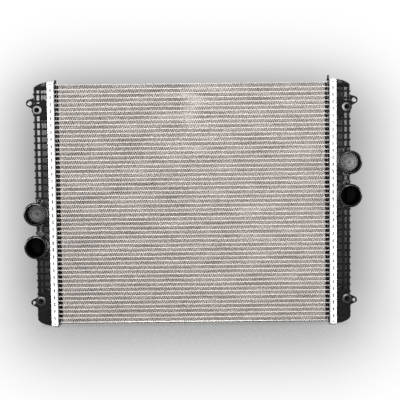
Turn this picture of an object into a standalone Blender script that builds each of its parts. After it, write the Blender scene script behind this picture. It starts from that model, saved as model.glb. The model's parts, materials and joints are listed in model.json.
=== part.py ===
"""Crossflow engine radiator: brazed aluminium core between two crimped plastic tanks.

Frame: metres, +Z up.  Origin at the middle of the underside of the bottom side plate.
+X runs along the tubes to the right tank.  The hose necks point to -Y, the front.
"""
import bpy
import bmesh
from math import cos, sin, pi, sqrt
from mathutils import Matrix

MM = 0.001
GAP = 0.3 * MM                      # clearance between pieces that touch
OVERRUN = 1.0 * MM                  # how far a cutter runs past the face it cuts

# ---- core ------------------------------------------------------------------
TUBES = 53                          # flat tubes, one more fin strip than tubes
TUBES_PER_PACK = 2
TUBE_T = 2.6 * MM                   # tube thickness
TUBE_D = 42.0 * MM                  # tube depth, front to back
TUBE_WALL = 0.45 * MM
TUBE_END = 366.0 * MM               # tubes stand through the tube plate
FIN_H = 9.1 * MM                    # fin strip height
FIN_W = 704.0 * MM                  # finned width
FIN_D = 40.4 * MM
PITCH = TUBE_T + FIN_H
FIRST_TUBE = FIN_H + TUBE_T / 2     # middle of the lowest tube, above the fin underside
STACK = TUBES * TUBE_T + (TUBES + 1) * FIN_H

# ---- side plates -----------------------------------------------------------
PLATE_T = 2.0 * MM
PLATE_HALF_W = 357.0 * MM
TOP_Z = PLATE_T + STACK             # underside of the top side plate
TOP_TAB_HALF_D = 9.0 * MM
BOTTOM_TAB_HALF_D = 27.0 * MM

# ---- headers ---------------------------------------------------------------
WEB_X = 361.5 * MM                  # core side of the tube plate
WEB_T = 2.0 * MM
HDR_X = 380.8 * MM                  # outer edge of the header wall
HDR_HALF_D = 30.0 * MM
HDR_LO = -8.0 * MM
HDR_HI = 641.2 * MM
HDR_T = 2.0 * MM
LIP_IN = 2.0 * MM                   # crimped rim reaches in over the tank foot
LIP_X0, LIP_X1 = 371.6 * MM, 373.4 * MM
SLOT_T = TUBE_T + 2 * GAP
SLOT_D = TUBE_D + 2.6 * GAP

# ---- gasket and tank foot --------------------------------------------------
GASKET_X0 = WEB_X + WEB_T + GAP
GASKET_X1 = 366.2 * MM
GASKET_INSET = 2.5 * MM             # outer edge, inside the header's outline
GASKET_OPENING_HALF_D = 22.6 * MM
OPENING_INSET = 8.6 * MM            # ends of gasket opening and tank hollow, inside the header's
OPENING_LO = HDR_LO + OPENING_INSET
OPENING_HI = HDR_HI - OPENING_INSET
FOOT_X0 = GASKET_X1 + GAP
FOOT_X1 = LIP_X0 - GAP
FOOT_HALF_D = 27.0 * MM
FOOT_END_INSET = 2.3 * MM

# ---- tanks -----------------------------------------------------------------
TANK_X = 416.8 * MM                 # outer face
TANK_HALF_D = 23.5 * MM
TANK_R = 13.0 * MM
WALL = 3.0 * MM
END_DROP = 20.0 * MM                # how far the tank ends fall away at the outer face
DOME_INSET = 0.9 * MM               # domed ends outside the header, inside its outline
THROAT_INSET = 5.4 * MM             # straight ends within the header, inside its outline
TANK_BLANK_OVER = 5.0 * MM          # section runs past the header ends before trimming
HOLLOW_OVER = 6.0 * MM              # hollow's section, below the origin and past the header top
END_CUT_HALF_D = 40.0 * MM          # half depth of the end-view outlines
RIBS = 35
RIB_PITCH = 18.31 * MM
RIB_Z0 = 4.7 * MM
RIB_T = 2.4 * MM
RIB_PROUD = 1.6 * MM
RIB_X0 = HDR_X + 0.6 * MM

# ---- hose necks and blanking discs -----------------------------------------
NECK_X = 410.5 * MM
NECK_R = 29.0 * MM
BEAD_R = 30.8 * MM
BORE_R = 25.0 * MM
NECK_LEN = 75.0 * MM                # mouth, ahead of the core's middle plane
NECK_BACK = 12.0 * MM               # root, behind the core's middle plane
LEFT_NECKS = (296.0 * MM, 209.4 * MM)       # heights, upper neck first
RIGHT_NECKS = (423.2 * MM, 336.6 * MM)
NECK_STEPS = 24
DISC_DEPTH = 44.0 * MM              # disc face, inside the mouth
DISC_RIM_H = 4.0 * MM
DISC_T = 4.0 * MM
DISC_STEPS = 20

# ---- bolt bosses -----------------------------------------------------------
BOSS_X = 406.8 * MM
BOSS_Z = {"bottom": 59.6 * MM, "top": 567.6 * MM}
BOSS_R = 13.4 * MM
BOSS_CHAMFER = 0.8 * MM
BOSS_FACE = 33.0 * MM
BOSS_ROOT = 5.0 * MM
INSERT_R = 6.0 * MM
INSERT_BORE_R = 4.25 * MM
INSERT_FACE = 24.0 * MM
BOSS_HOLE_R = INSERT_R + GAP
BOSS_HOLE_FLOOR = 8.0 * MM
BOSS_STEPS = 16

# ---- ears ------------------------------------------------------------------
EAR_X = 426.2 * MM
EAR_ROOT_X = TANK_X - 2 * MM
EAR_Y0, EAR_Y1 = -24.0 * MM, -17.0 * MM
# z: hole centre; below, above: root corners from it; start, end: angles of the round tip
EARS = (
    dict(name="ear_top", z=585.6 * MM, below=17.5 * MM, above=14.0 * MM, tip_r=10.0 * MM,
         start=-pi * 0.36, end=pi * 0.42, tip_steps=6, hole_r=5.4 * MM, hole_steps=14),
    dict(name="ear_low", z=55.7 * MM, below=14.5 * MM, above=14.5 * MM, tip_r=8.2 * MM,
         start=-pi * 0.34, end=pi * 0.34, tip_steps=5, hole_r=4.1 * MM, hole_steps=12),
)

# ---- drain screw -----------------------------------------------------------
DRAIN_X, DRAIN_Z = 399.0 * MM, 24.0 * MM
DRAIN_FACE = 36.0 * MM              # rear face of the drain boss
DRAIN_BOSS_R = 11.0 * MM
DRAIN_BOSS_ROOT = 10.0 * MM
DRAIN_SHANK_R = 6.2 * MM
DRAIN_HOLE_R = DRAIN_SHANK_R + GAP
DRAIN_HOLE_FLOOR = 12.0 * MM
DRAIN_STEPS = 16
GROOVE_R = 4.4 * MM                 # seal groove in the shank
GROOVE_NEAR, GROOVE_FAR = -9.6 * MM, -12.4 * MM     # its edges, from the boss face

# ---- turns of round cutters, so that their facets miss the outer ones ------
BORE_SPIN = 0.07
BOSS_HOLE_SPIN = 0.11
DRAIN_HOLE_SPIN = 0.09

SHARP_ANGLE = 0.6                   # edges bent more than this stay sharp, radians


# ============================================================================
# Scene and materials
for old in list(bpy.data.objects):
    bpy.data.objects.remove(old, do_unlink=True)

parts = bpy.data.collections.new("crossflow_radiator")
cutters = bpy.data.collections.new("cutters")
bpy.context.scene.collection.children.link(parts)
bpy.context.scene.collection.children.link(cutters)

root = bpy.data.objects.new("radiator_root", None)
parts.objects.link(root)


def material(name, rgb, roughness, metallic):
    made = bpy.data.materials.new(name)
    made.use_nodes = True
    inputs = made.node_tree.nodes["Principled BSDF"].inputs
    inputs["Base Color"].default_value = (*rgb, 1.0)
    inputs["Roughness"].default_value = roughness
    inputs["Metallic"].default_value = metallic
    made.diffuse_color = (*rgb, 1.0)
    return made


MATERIALS = {
    "core": material("core_aluminium", (0.66, 0.62, 0.59), roughness=0.42, metallic=0.85),
    "plate": material("side_plate_aluminium", (0.74, 0.72, 0.70), roughness=0.38, metallic=0.9),
    "header": material("header_aluminium", (0.88, 0.88, 0.88), roughness=0.30, metallic=0.9),
    "tank": material("tank_nylon_black", (0.022, 0.022, 0.023), roughness=0.36, metallic=0.0),
    "rubber": material("gasket_rubber", (0.012, 0.012, 0.012), roughness=0.75, metallic=0.0),
    "disc": material("blanking_disc_grey", (0.16, 0.16, 0.165), roughness=0.55, metallic=0.0),
    "insert": material("insert_zinc", (0.42, 0.41, 0.39), roughness=0.40, metallic=1.0),
    "drain": material("drain_screw_nylon", (0.03, 0.03, 0.032), roughness=0.45, metallic=0.0),
}


# ============================================================================
# Solids.  A solid made without a material is a helper for booleans.
def set_material(mesh, mat):
    mesh.materials.clear()
    mesh.materials.append(MATERIALS[mat])


def place(obj, mat):
    """Put an object in its collection; a part is parented to the root, a helper is hidden."""
    if mat is None:
        cutters.objects.link(obj)
        obj.hide_render = True
        obj.display_type = "WIRE"
    else:
        parts.objects.link(obj)
        obj.parent = root
        set_material(obj.data, mat)
    return obj


# Plane of an outline: its rotation from XY, and the axis the outline is extruded along
PLANES = {
    "XY": (Matrix(((1, 0, 0, 0), (0, 1, 0, 0), (0, 0, 1, 0), (0, 0, 0, 1))), (0, 0, 1)),
    "XZ": (Matrix(((1, 0, 0, 0), (0, 0, -1, 0), (0, 1, 0, 0), (0, 0, 0, 1))), (0, 1, 0)),
    "YZ": (Matrix(((0, 0, 1, 0), (1, 0, 0, 0), (0, 1, 0, 0), (0, 0, 0, 1))), (1, 0, 0)),
}


def evaluated_mesh(obj):
    bpy.context.view_layer.update()
    evaluated = obj.evaluated_get(bpy.context.evaluated_depsgraph_get())
    return bpy.data.meshes.new_from_object(evaluated)


def prism(name, loops, plane, lo, hi, mat=None):
    """Outline (first loop) with holes (other loops), extruded from lo to hi on the third axis."""
    curve = bpy.data.curves.new(name + "_outline", "CURVE")
    curve.dimensions = "2D"
    curve.fill_mode = "BOTH"
    curve.extrude = (hi - lo) / 2
    for loop in loops:
        spline = curve.splines.new("POLY")
        spline.points.add(len(loop) - 1)
        for point, (across, up) in zip(spline.points, loop):
            point.co = (across, up, 0.0, 1.0)
        spline.use_cyclic_u = True
    outline = bpy.data.objects.new(name + "_curve", curve)
    bpy.context.scene.collection.objects.link(outline)
    rotation, axis = PLANES[plane]
    middle = (lo + hi) / 2
    outline.matrix_world = Matrix.Translation([middle * part for part in axis]) @ rotation
    mesh = evaluated_mesh(outline)
    mesh.name = name
    shape = bmesh.new()
    shape.from_mesh(mesh)
    bmesh.ops.remove_doubles(shape, verts=shape.verts, dist=1e-6)
    bmesh.ops.dissolve_limit(shape, angle_limit=0.002, verts=shape.verts, edges=shape.edges)
    bmesh.ops.recalc_face_normals(shape, faces=shape.faces)
    shape.to_mesh(mesh)
    shape.free()
    obj = bpy.data.objects.new(name, mesh)
    obj.matrix_world = outline.matrix_world.copy()
    bpy.data.objects.remove(outline, do_unlink=True)
    bpy.data.curves.remove(curve)
    return place(obj, mat)


def box(name, low, high, mat):
    mesh = bpy.data.meshes.new(name)
    shape = bmesh.new()
    bmesh.ops.create_cube(shape, size=1.0)
    size = [hi - lo for lo, hi in zip(low, high)]
    bmesh.ops.scale(shape, vec=size, verts=shape.verts)
    shape.to_mesh(mesh)
    shape.free()
    obj = bpy.data.objects.new(name, mesh)
    obj.location = [(lo + hi) / 2 for lo, hi in zip(low, high)]
    return place(obj, mat)


def turned(name, profile, x, z, steps, mat=None, rear=False, spin=0.0):
    """Profile of (radius, height) pairs turned about a line along Y through (x, z).

    Height is measured towards -Y (towards +Y when rear is set).  spin turns the facets
    about that line.  A profile that stays off the line is closed into a ring."""
    mesh = bpy.data.meshes.new(name)
    shape = bmesh.new()
    verts = [shape.verts.new((radius, 0, height)) for radius, height in profile]
    for start, end in zip(verts, verts[1:]):
        shape.edges.new((start, end))
    if profile[0][0] > 0:
        shape.edges.new((verts[-1], verts[0]))
    shape.to_mesh(mesh)
    shape.free()
    obj = bpy.data.objects.new(name, mesh)
    obj.location = (x, 0, z)
    obj.rotation_euler = (-pi / 2 if rear else pi / 2, spin, 0)
    screw = obj.modifiers.new("turn", "SCREW")
    screw.axis = "Z"
    screw.angle = 2 * pi
    screw.steps = screw.render_steps = steps
    screw.use_merge_vertices = True
    screw.merge_threshold = 0.00002
    screw.use_smooth_shade = True
    return place(obj, mat)


def boolean(obj, other, operation):
    modifier = obj.modifiers.new(operation.lower(), "BOOLEAN")
    modifier.operation = operation
    modifier.object = other
    modifier.solver = "EXACT"


def array(obj, count, offset):
    """Repeat an object along an offset in its own axes."""
    row = obj.modifiers.new("row", "ARRAY")
    row.count = count
    row.use_relative_offset = False
    row.use_constant_offset = True
    row.constant_offset_displace = offset
    row.use_merge_vertices = False


def bake(obj):
    """Replace an object's modifiers by their result, so that copies can share the mesh."""
    mesh = evaluated_mesh(obj)
    mesh.name = obj.name
    obj.modifiers.clear()
    obj.data = mesh


# ============================================================================
# Outlines
def arc(x, y, radius, start, end, steps):
    angles = [start + (end - start) * i / steps for i in range(steps + 1)]
    return [(x + radius * cos(angle), y + radius * sin(angle)) for angle in angles]


def circle(x, y, radius, steps):
    angles = [2 * pi * i / steps for i in range(steps)]
    return [(x + radius * cos(angle), y + radius * sin(angle)) for angle in angles]


def frame_outline(half_d, end_inset, r):
    """Rounded rectangle in the YZ plane, its ends set in from the header's ends."""
    lo, hi = HDR_LO + end_inset, HDR_HI - end_inset
    return (arc(half_d - r, lo + r, r, -pi / 2, 0, 2)
            + arc(half_d - r, hi - r, r, 0, pi / 2, 2)
            + arc(-half_d + r, hi - r, r, pi / 2, pi, 2)
            + arc(-half_d + r, lo + r, r, pi, 3 * pi / 2, 2))


def flat_tube(z, thickness, depth):
    """Section of a flat tube in the YZ plane: two long walls and a blunt nose at each end."""
    half_t, half_d = thickness / 2, depth / 2
    nose = 0.6 * half_t
    return [(-half_d, z), (-half_d + nose, z - half_t), (half_d - nose, z - half_t),
            (half_d, z), (half_d - nose, z + half_t), (-half_d + nose, z + half_t)]


def end_curve(x0, x1, z_end, direction):
    """Domed tank end from x0 to x1; direction is +1 for the top end, -1 for the bottom."""
    steps = 5
    points = []
    for i in range(steps + 1):
        t = sin(pi / 2 * i / steps)
        drop = 0.15 * END_DROP * t + 0.85 * END_DROP * (1 - sqrt(max(0.0, 1 - t ** 2.2)))
        points.append((x0 + (x1 - x0) * t, z_end - direction * drop))
    return points


def tank_section(x0, x1, half_d, r):
    """Section across the tank: square corners at the header, rounded at the outer face."""
    return ([(x0, -half_d)] + arc(x1 - r, -half_d + r, r, -pi / 2, 0, 2)
            + arc(x1 - r, half_d - r, r, 0, pi / 2, 2) + [(x0, half_d)])


def rod(radius, face, floor):
    """Turning profile of a plain cylinder."""
    return [(0, face), (radius, face), (radius, floor), (0, floor)]


def mirrored(side, loop):
    """Outline for the side: -1 left, +1 right."""
    return [(side * x, y) for x, y in loop]


def side_slab(name, side, loops, x0, x1, mat=None):
    """YZ outlines extruded between two distances from the middle, on one side."""
    lo, hi = (x0, x1) if side > 0 else (-x1, -x0)
    return prism(name, loops, "YZ", lo, hi, mat)


# ============================================================================
# Core: packs of tubes and the fin strips beside them, brazed into one.
# A pack is made with the underside of its lower fin strip at zero height.
def core_pack(name, tubes, slab_top):
    pack = box(name, (-FIN_W / 2, -FIN_D / 2, GAP), (FIN_W / 2, FIN_D / 2, slab_top), "core")
    bars = prism(name + "_tubes", [flat_tube(FIRST_TUBE, TUBE_T, TUBE_D)],
                 "YZ", -TUBE_END, TUBE_END)
    way = flat_tube(FIRST_TUBE, TUBE_T - 2 * TUBE_WALL, TUBE_D - 3 * TUBE_WALL)
    ways = prism(name + "_ways", [way], "YZ", -TUBE_END - OVERRUN, TUBE_END + OVERRUN)
    for cutter, operation in ((bars, "UNION"), (ways, "DIFFERENCE")):
        array(cutter, tubes, (0, PITCH, 0))
        boolean(pack, cutter, operation)
    bake(pack)
    for cutter in (bars, ways):
        bpy.data.objects.remove(cutter, do_unlink=True)
    set_material(pack.data, "core")
    return pack


def build_core():
    """Equal packs that share one mesh, then a last pack of one tube between two fin strips."""
    packs = (TUBES + 1) // TUBES_PER_PACK
    pack_pitch = TUBES_PER_PACK * PITCH
    first = core_pack("core_pack_01", TUBES_PER_PACK, pack_pitch - TUBE_T / 2)
    first_z = first.location.z
    first.location.z = first_z + PLATE_T
    for i in range(1, packs - 1):
        pack = bpy.data.objects.new("core_pack_%02d" % (i + 1), first.data)
        pack.location = (0, 0, first_z + PLATE_T + i * pack_pitch)
        place(pack, "core")
    last = core_pack("core_pack_%02d" % packs, 1, PITCH + FIN_H - GAP)
    last.location.z += PLATE_T + (packs - 1) * pack_pitch


# ============================================================================
# Side plates: flat strips with bent end tabs.
# Tab points, mm: distance from the middle, height outward from the plate's mid-thickness.
def top_tab(height):
    """Tab that leans up to the header and stands up beside it."""
    return [(352.0, -0.6), (355.5, -0.6), (361.1, 5.0), (361.1, height),
            (359.3, height), (359.3, 6.2), (354.0, 0.8), (352.0, 0.8)]


# Tab that leans down and turns under the header's end wall
BOTTOM_TAB = [(352.0, -0.6), (355.5, -0.6), (360.6, 7.4), (361.1, 9.4), (378.0, 9.4),
              (378.0, 11.0), (360.4, 11.0), (359.0, 8.2), (354.0, 0.8), (352.0, 0.8)]


def side_plate(name, z, outward, left_tab, right_tab, tab_half_d):
    """Strip with its underside at z; outward is +1 for up, -1 for down."""
    plate = box(name, (-PLATE_HALF_W, -TUBE_D / 2, z),
                (PLATE_HALF_W, TUBE_D / 2, z + PLATE_T), "plate")
    middle = z + PLATE_T / 2
    for side, letter, tab in ((-1, "l", left_tab), (1, "r", right_tab)):
        outline = [(side * x * MM, middle + outward * rise * MM) for x, rise in tab]
        bent = prism("%s_tab_%s" % (name, letter), [outline], "XZ", -tab_half_d, tab_half_d)
        boolean(plate, bent, "UNION")


# ============================================================================
# Headers, gaskets and tanks.  side is -1 for the left, +1 for the right.
def build_header(side, tag):
    """Deep tray with a rim crimped in over the tank foot, and one slot for each tube."""
    web_out = WEB_X + WEB_T
    header = side_slab("header_" + tag, side, [frame_outline(HDR_HALF_D, 0, 5 * MM)],
                       WEB_X, HDR_X, "header")
    inside = frame_outline(HDR_HALF_D - HDR_T, HDR_T, 3 * MM)
    rim_in = HDR_T + LIP_IN
    opening = frame_outline(HDR_HALF_D - rim_in, rim_in, 2 * MM)
    slot = flat_tube(PLATE_T + FIRST_TUBE, SLOT_T, SLOT_D)
    tray = side_slab("tray_" + tag, side, [inside], web_out, LIP_X0)
    mouth = side_slab("mouth_" + tag, side, [inside], LIP_X1, HDR_X + OVERRUN)
    rim = side_slab("rim_" + tag, side, [opening], LIP_X0 - OVERRUN, LIP_X1 + OVERRUN)
    slots = side_slab("slots_" + tag, side, [slot], WEB_X - OVERRUN, web_out + OVERRUN)
    array(slots, TUBES, (0, PITCH, 0))
    for cutter in (tray, mouth, rim, slots):
        boolean(header, cutter, "DIFFERENCE")


def build_gasket(side, tag):
    """Flat frame between the tube plate and the tank foot."""
    outer = frame_outline(HDR_HALF_D - GASKET_INSET, GASKET_INSET, 3 * MM)
    opening = frame_outline(GASKET_OPENING_HALF_D, OPENING_INSET, 3 * MM)
    side_slab("gasket_" + tag, side, [outer, opening], GASKET_X0, GASKET_X1, "rubber")


def tank_shell(side, tag):
    """Solid tank: section across and end view, intersected."""
    section = tank_section(FOOT_X0, TANK_X, TANK_HALF_D, TANK_R)
    tank = prism("tank_" + tag, [mirrored(side, section)], "XY",
                 HDR_LO - TANK_BLANK_OVER, HDR_HI + TANK_BLANK_OVER, "tank")
    x_in, x_dome, x_out = FOOT_X0 - OVERRUN, HDR_X + GAP, TANK_X + OVERRUN
    throat_lo, throat_hi = HDR_LO + THROAT_INSET, HDR_HI - THROAT_INSET
    end_view = ([(x_in, throat_lo), (x_dome, throat_lo)]
                + end_curve(x_dome, x_out, HDR_LO + DOME_INSET, -1)
                + end_curve(x_dome, x_out, HDR_HI - DOME_INSET, 1)[::-1]
                + [(x_dome, throat_hi), (x_in, throat_hi)])
    ends = prism("ends_" + tag, [mirrored(side, end_view)], "XZ",
                 -END_CUT_HALF_D, END_CUT_HALF_D)
    boolean(tank, ends, "INTERSECT")
    return tank


def add_ribs(tank, side, tag):
    """Horizontal ribs, wrapped round the section."""
    section = tank_section(RIB_X0, TANK_X + RIB_PROUD, TANK_HALF_D + RIB_PROUD,
                           TANK_R + RIB_PROUD)
    ribs = prism("ribs_" + tag, [mirrored(side, section)], "XY",
                 RIB_Z0 - RIB_T / 2, RIB_Z0 + RIB_T / 2)
    array(ribs, RIBS, (0, 0, RIB_PITCH))
    boolean(tank, ribs, "UNION")


def add_foot(tank, side, tag):
    """Flange held under the header's crimped rim."""
    outline = frame_outline(FOOT_HALF_D, FOOT_END_INSET, 3 * MM)
    boolean(tank, side_slab("foot_" + tag, side, [outline], FOOT_X0, FOOT_X1), "UNION")


def add_necks(tank, side, tag, necks):
    """Spigots with a hose bead, their roots let into the tank."""
    outline = [(0, NECK_LEN), (NECK_R - 0.8 * MM, NECK_LEN),
               (BEAD_R, NECK_LEN - 3 * MM), (BEAD_R, NECK_LEN - 6 * MM),
               (NECK_R, NECK_LEN - 9 * MM), (NECK_R, -NECK_BACK + 4 * MM),
               (NECK_R - 4 * MM, -NECK_BACK), (0, -NECK_BACK)]
    for i, z in enumerate(necks):
        neck = turned("neck_%s_%d" % (tag, i), outline, side * NECK_X, z, NECK_STEPS)
        boolean(tank, neck, "UNION")


def add_drain_boss(tank):
    boss = turned("drain_boss", rod(DRAIN_BOSS_R, DRAIN_FACE, DRAIN_BOSS_ROOT),
                  DRAIN_X, DRAIN_Z, DRAIN_STEPS, rear=True)
    boolean(tank, boss, "UNION")


def cut_hollow(tank, side, tag):
    section = tank_section(FOOT_X0 - OVERRUN, TANK_X - WALL, TANK_HALF_D - WALL, TANK_R - WALL)
    hollow = prism("hollow_" + tag, [mirrored(side, section)], "XY",
                   -HOLLOW_OVER, HDR_HI + HOLLOW_OVER)
    x_in, x_out = FOOT_X0 - 2 * OVERRUN, TANK_X - WALL + OVERRUN
    end_view = ([(x_in, OPENING_LO)] + end_curve(HDR_X, x_out, OPENING_LO, -1)
                + end_curve(HDR_X, x_out, OPENING_HI, 1)[::-1] + [(x_in, OPENING_HI)])
    inner = prism("inner_" + tag, [mirrored(side, end_view)], "XZ",
                  -END_CUT_HALF_D, END_CUT_HALF_D)
    boolean(hollow, inner, "INTERSECT")
    boolean(tank, hollow, "DIFFERENCE")


def cut_bores(tank, side, tag, necks):
    profile = rod(BORE_R, NECK_LEN + OVERRUN, -NECK_BACK + WALL)
    for i, z in enumerate(necks):
        bore = turned("bore_%s_%d" % (tag, i), profile, side * NECK_X, z, NECK_STEPS,
                      spin=BORE_SPIN)
        boolean(tank, bore, "DIFFERENCE")


def add_bosses(tank, side, tag):
    """Solid posts on the front, each with a blind hole that holds an insert."""
    post_profile = [(0, BOSS_FACE), (BOSS_R - BOSS_CHAMFER, BOSS_FACE),
                    (BOSS_R, BOSS_FACE - BOSS_CHAMFER), (BOSS_R, BOSS_ROOT), (0, BOSS_ROOT)]
    hole_profile = rod(BOSS_HOLE_R, BOSS_FACE + OVERRUN, BOSS_HOLE_FLOOR)
    insert_floor = BOSS_HOLE_FLOOR + GAP
    insert_profile = [(INSERT_R, INSERT_FACE), (INSERT_R, insert_floor),
                      (INSERT_BORE_R, insert_floor), (INSERT_BORE_R, INSERT_FACE)]
    x = side * BOSS_X
    for i, (level, z) in enumerate(BOSS_Z.items()):
        post = turned("boss_%s_%d" % (tag, i), post_profile, x, z, BOSS_STEPS)
        hole = turned("boss_hole_%s_%d" % (tag, i), hole_profile, x, z, BOSS_STEPS,
                      spin=BOSS_HOLE_SPIN)
        boolean(tank, post, "UNION")
        boolean(tank, hole, "DIFFERENCE")
        turned("boss_insert_%s_%s" % (level, tag), insert_profile, x, z, BOSS_STEPS, "insert")


def add_ear(tank, side, tag, name, z, below, above, tip_r, start, end, tip_steps,
            hole_r, hole_steps):
    """Flat lug on the tank's outer face, with a round tip and a round hole."""
    outline = ([(EAR_ROOT_X, z - below)] + arc(EAR_X, z, tip_r, start, end, tip_steps)
               + [(EAR_ROOT_X, z + above)])
    hole = circle(EAR_X, z, hole_r, hole_steps)
    ear = prism("%s_%s" % (name, tag), [mirrored(side, outline), mirrored(side, hole)],
                "XZ", EAR_Y0, EAR_Y1)
    boolean(tank, ear, "UNION")


def cut_drain_hole(tank):
    hole = turned("drain_hole", rod(DRAIN_HOLE_R, DRAIN_FACE + OVERRUN, DRAIN_HOLE_FLOOR),
                  DRAIN_X, DRAIN_Z, DRAIN_STEPS, rear=True, spin=DRAIN_HOLE_SPIN)
    boolean(tank, hole, "DIFFERENCE")


def build_blanking_disc(side, tag, z):
    """Shallow cup in the upper neck, open to the front."""
    face = NECK_LEN - DISC_DEPTH
    rim, back = face + DISC_RIM_H, face - DISC_T
    radius = BORE_R - GAP
    profile = [(0, face), (radius - 2.4 * MM, face), (radius - 2.0 * MM, rim),
               (radius, rim), (radius, back), (0, back)]
    turned("blanking_disc_" + tag, profile, side * NECK_X, z, DISC_STEPS, "disc")


def build_tank(side, tag, necks):
    """The order matters: what is added before the hollow is cut open by it."""
    tank = tank_shell(side, tag)
    add_ribs(tank, side, tag)
    add_foot(tank, side, tag)
    add_necks(tank, side, tag, necks)
    if side > 0:
        add_drain_boss(tank)
    cut_hollow(tank, side, tag)
    cut_bores(tank, side, tag, necks)
    add_bosses(tank, side, tag)
    for ear in EARS:
        add_ear(tank, side, tag, **ear)
    if side > 0:
        cut_drain_hole(tank)


# ============================================================================
# Drain screw and its seal; both sit on the screw's axis, and turn and travel along it.
# Profiles: radius, height rearward from the boss face.
SCREW_PROFILE = [
    (0, 6 * MM), (8.6 * MM, 6 * MM), (9.4 * MM, 5 * MM), (9.4 * MM, GAP),   # head
    (DRAIN_SHANK_R, GAP), (DRAIN_SHANK_R, -9 * MM),                         # shank
    (GROOVE_R, GROOVE_NEAR), (GROOVE_R, GROOVE_FAR),                        # seal groove
    (DRAIN_SHANK_R, -13 * MM), (DRAIN_SHANK_R - 1.2 * MM, -17 * MM), (0, -17 * MM),
]
SEAL_PROFILE = [
    (6.0 * MM, GROOVE_NEAR - GAP), (6.25 * MM, -11 * MM), (6.0 * MM, GROOVE_FAR + GAP),
    (GROOVE_R + GAP, GROOVE_FAR + GAP), (GROOVE_R + GAP, GROOVE_NEAR - GAP),
]
# Grip outline, mm: x and z from the screw's axis
WING = ((-11, -1.6), (11, -1.6), (12.4, 0), (11, 1.6), (-11, 1.6), (-12.4, 0))
WING_NEAR, WING_FAR = 3 * MM, 15 * MM       # its ends, rearward from the boss face


def drain_part(name, profile, mat):
    raised = [(radius, DRAIN_FACE + height) for radius, height in profile]
    return turned(name, raised, DRAIN_X, DRAIN_Z, DRAIN_STEPS, mat, rear=True)


def build_drain():
    axis = bpy.data.objects.new("drain_axis", None)
    axis.location = (DRAIN_X, DRAIN_FACE, DRAIN_Z)
    parts.objects.link(axis)
    axis.parent = root
    screw = drain_part("drain_screw", SCREW_PROFILE, "drain")
    outline = [(DRAIN_X + x * MM, DRAIN_Z + z * MM) for x, z in WING]
    wing = prism("drain_wing", [outline], "XZ", DRAIN_FACE + WING_NEAR, DRAIN_FACE + WING_FAR)
    boolean(screw, wing, "UNION")
    seal = drain_part("drain_seal", SEAL_PROFILE, "rubber")
    for part in (screw, seal):
        part.parent = axis
        part.matrix_parent_inverse = Matrix.Translation(axis.location).inverted()


def smooth_parts():
    """Smooth shading with sharp edges on everything but the core."""
    for obj in parts.objects:
        if obj.type == "MESH" and not obj.name.startswith("core_pack"):
            obj.data.shade_smooth()
            obj.data.set_sharp_from_angle(angle=SHARP_ANGLE)


build_core()
side_plate("side_plate_top", TOP_Z, 1, top_tab(13.8), top_tab(19.0), TOP_TAB_HALF_D)
side_plate("side_plate_bottom", 0.0, -1, BOTTOM_TAB, BOTTOM_TAB, BOTTOM_TAB_HALF_D)
for side, tag, necks in ((-1, "left", LEFT_NECKS), (1, "right", RIGHT_NECKS)):
    build_header(side, tag)
    build_gasket(side, tag)
    build_tank(side, tag, necks)
    build_blanking_disc(side, tag, necks[0])
build_drain()
smooth_parts()
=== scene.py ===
# A car radiator, standing upright. The core's tubes run along X, centred on x = 0, with its
# lower plate near z = 0. Front is -Y, right is +X. Each end has a crimped aluminium header
# and a ribbed nylon tank; the hose necks face the front, the drain screw the back at the right.
import json
import math
import random
from contextlib import contextmanager
from functools import reduce

import bpy
import bmesh
import numpy as np
from mathutils import Matrix, Vector


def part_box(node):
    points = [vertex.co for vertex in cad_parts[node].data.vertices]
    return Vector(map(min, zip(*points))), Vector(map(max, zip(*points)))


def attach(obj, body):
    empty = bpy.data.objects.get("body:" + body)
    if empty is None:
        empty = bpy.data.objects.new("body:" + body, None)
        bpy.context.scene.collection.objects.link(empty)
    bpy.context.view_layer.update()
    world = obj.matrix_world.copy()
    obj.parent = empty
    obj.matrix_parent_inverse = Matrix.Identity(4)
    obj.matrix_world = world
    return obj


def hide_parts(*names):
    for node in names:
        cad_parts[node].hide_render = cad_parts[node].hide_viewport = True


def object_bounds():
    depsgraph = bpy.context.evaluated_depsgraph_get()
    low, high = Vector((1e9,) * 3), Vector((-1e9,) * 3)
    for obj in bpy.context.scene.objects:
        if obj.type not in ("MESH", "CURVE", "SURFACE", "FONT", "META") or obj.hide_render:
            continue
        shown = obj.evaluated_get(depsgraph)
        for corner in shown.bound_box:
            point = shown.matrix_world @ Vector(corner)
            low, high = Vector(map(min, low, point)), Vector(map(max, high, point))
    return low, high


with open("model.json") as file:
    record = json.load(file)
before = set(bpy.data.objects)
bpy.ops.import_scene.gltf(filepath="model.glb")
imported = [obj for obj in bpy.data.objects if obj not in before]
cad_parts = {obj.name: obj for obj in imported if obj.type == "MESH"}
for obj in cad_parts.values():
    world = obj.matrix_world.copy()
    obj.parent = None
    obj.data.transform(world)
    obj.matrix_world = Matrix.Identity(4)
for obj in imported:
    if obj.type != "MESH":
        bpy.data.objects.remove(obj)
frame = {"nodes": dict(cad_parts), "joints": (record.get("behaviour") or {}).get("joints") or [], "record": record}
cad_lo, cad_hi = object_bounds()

MM = 0.001
pi = math.pi
scene = bpy.context.scene
SIDES = (("left", -1), ("right", 1))

# ============================================================================
# places, most of them read from the frame
box = {name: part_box(name) for name in frame["nodes"]}
mount = {m["name"]: m["pos_m"] for m in frame["record"]["mounts"]}
joint = {j["name"]: j for j in frame["joints"]}


def middle(name):
    low, high = box[name]
    return (low + high) / 2


header_lo, header_hi = box["header_right"]
WEB_X = header_lo.x                                  # core side of the tube plate
HDR_LO, HDR_HI, HDR_Y = header_lo.z, header_hi.z, header_hi.y

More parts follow.
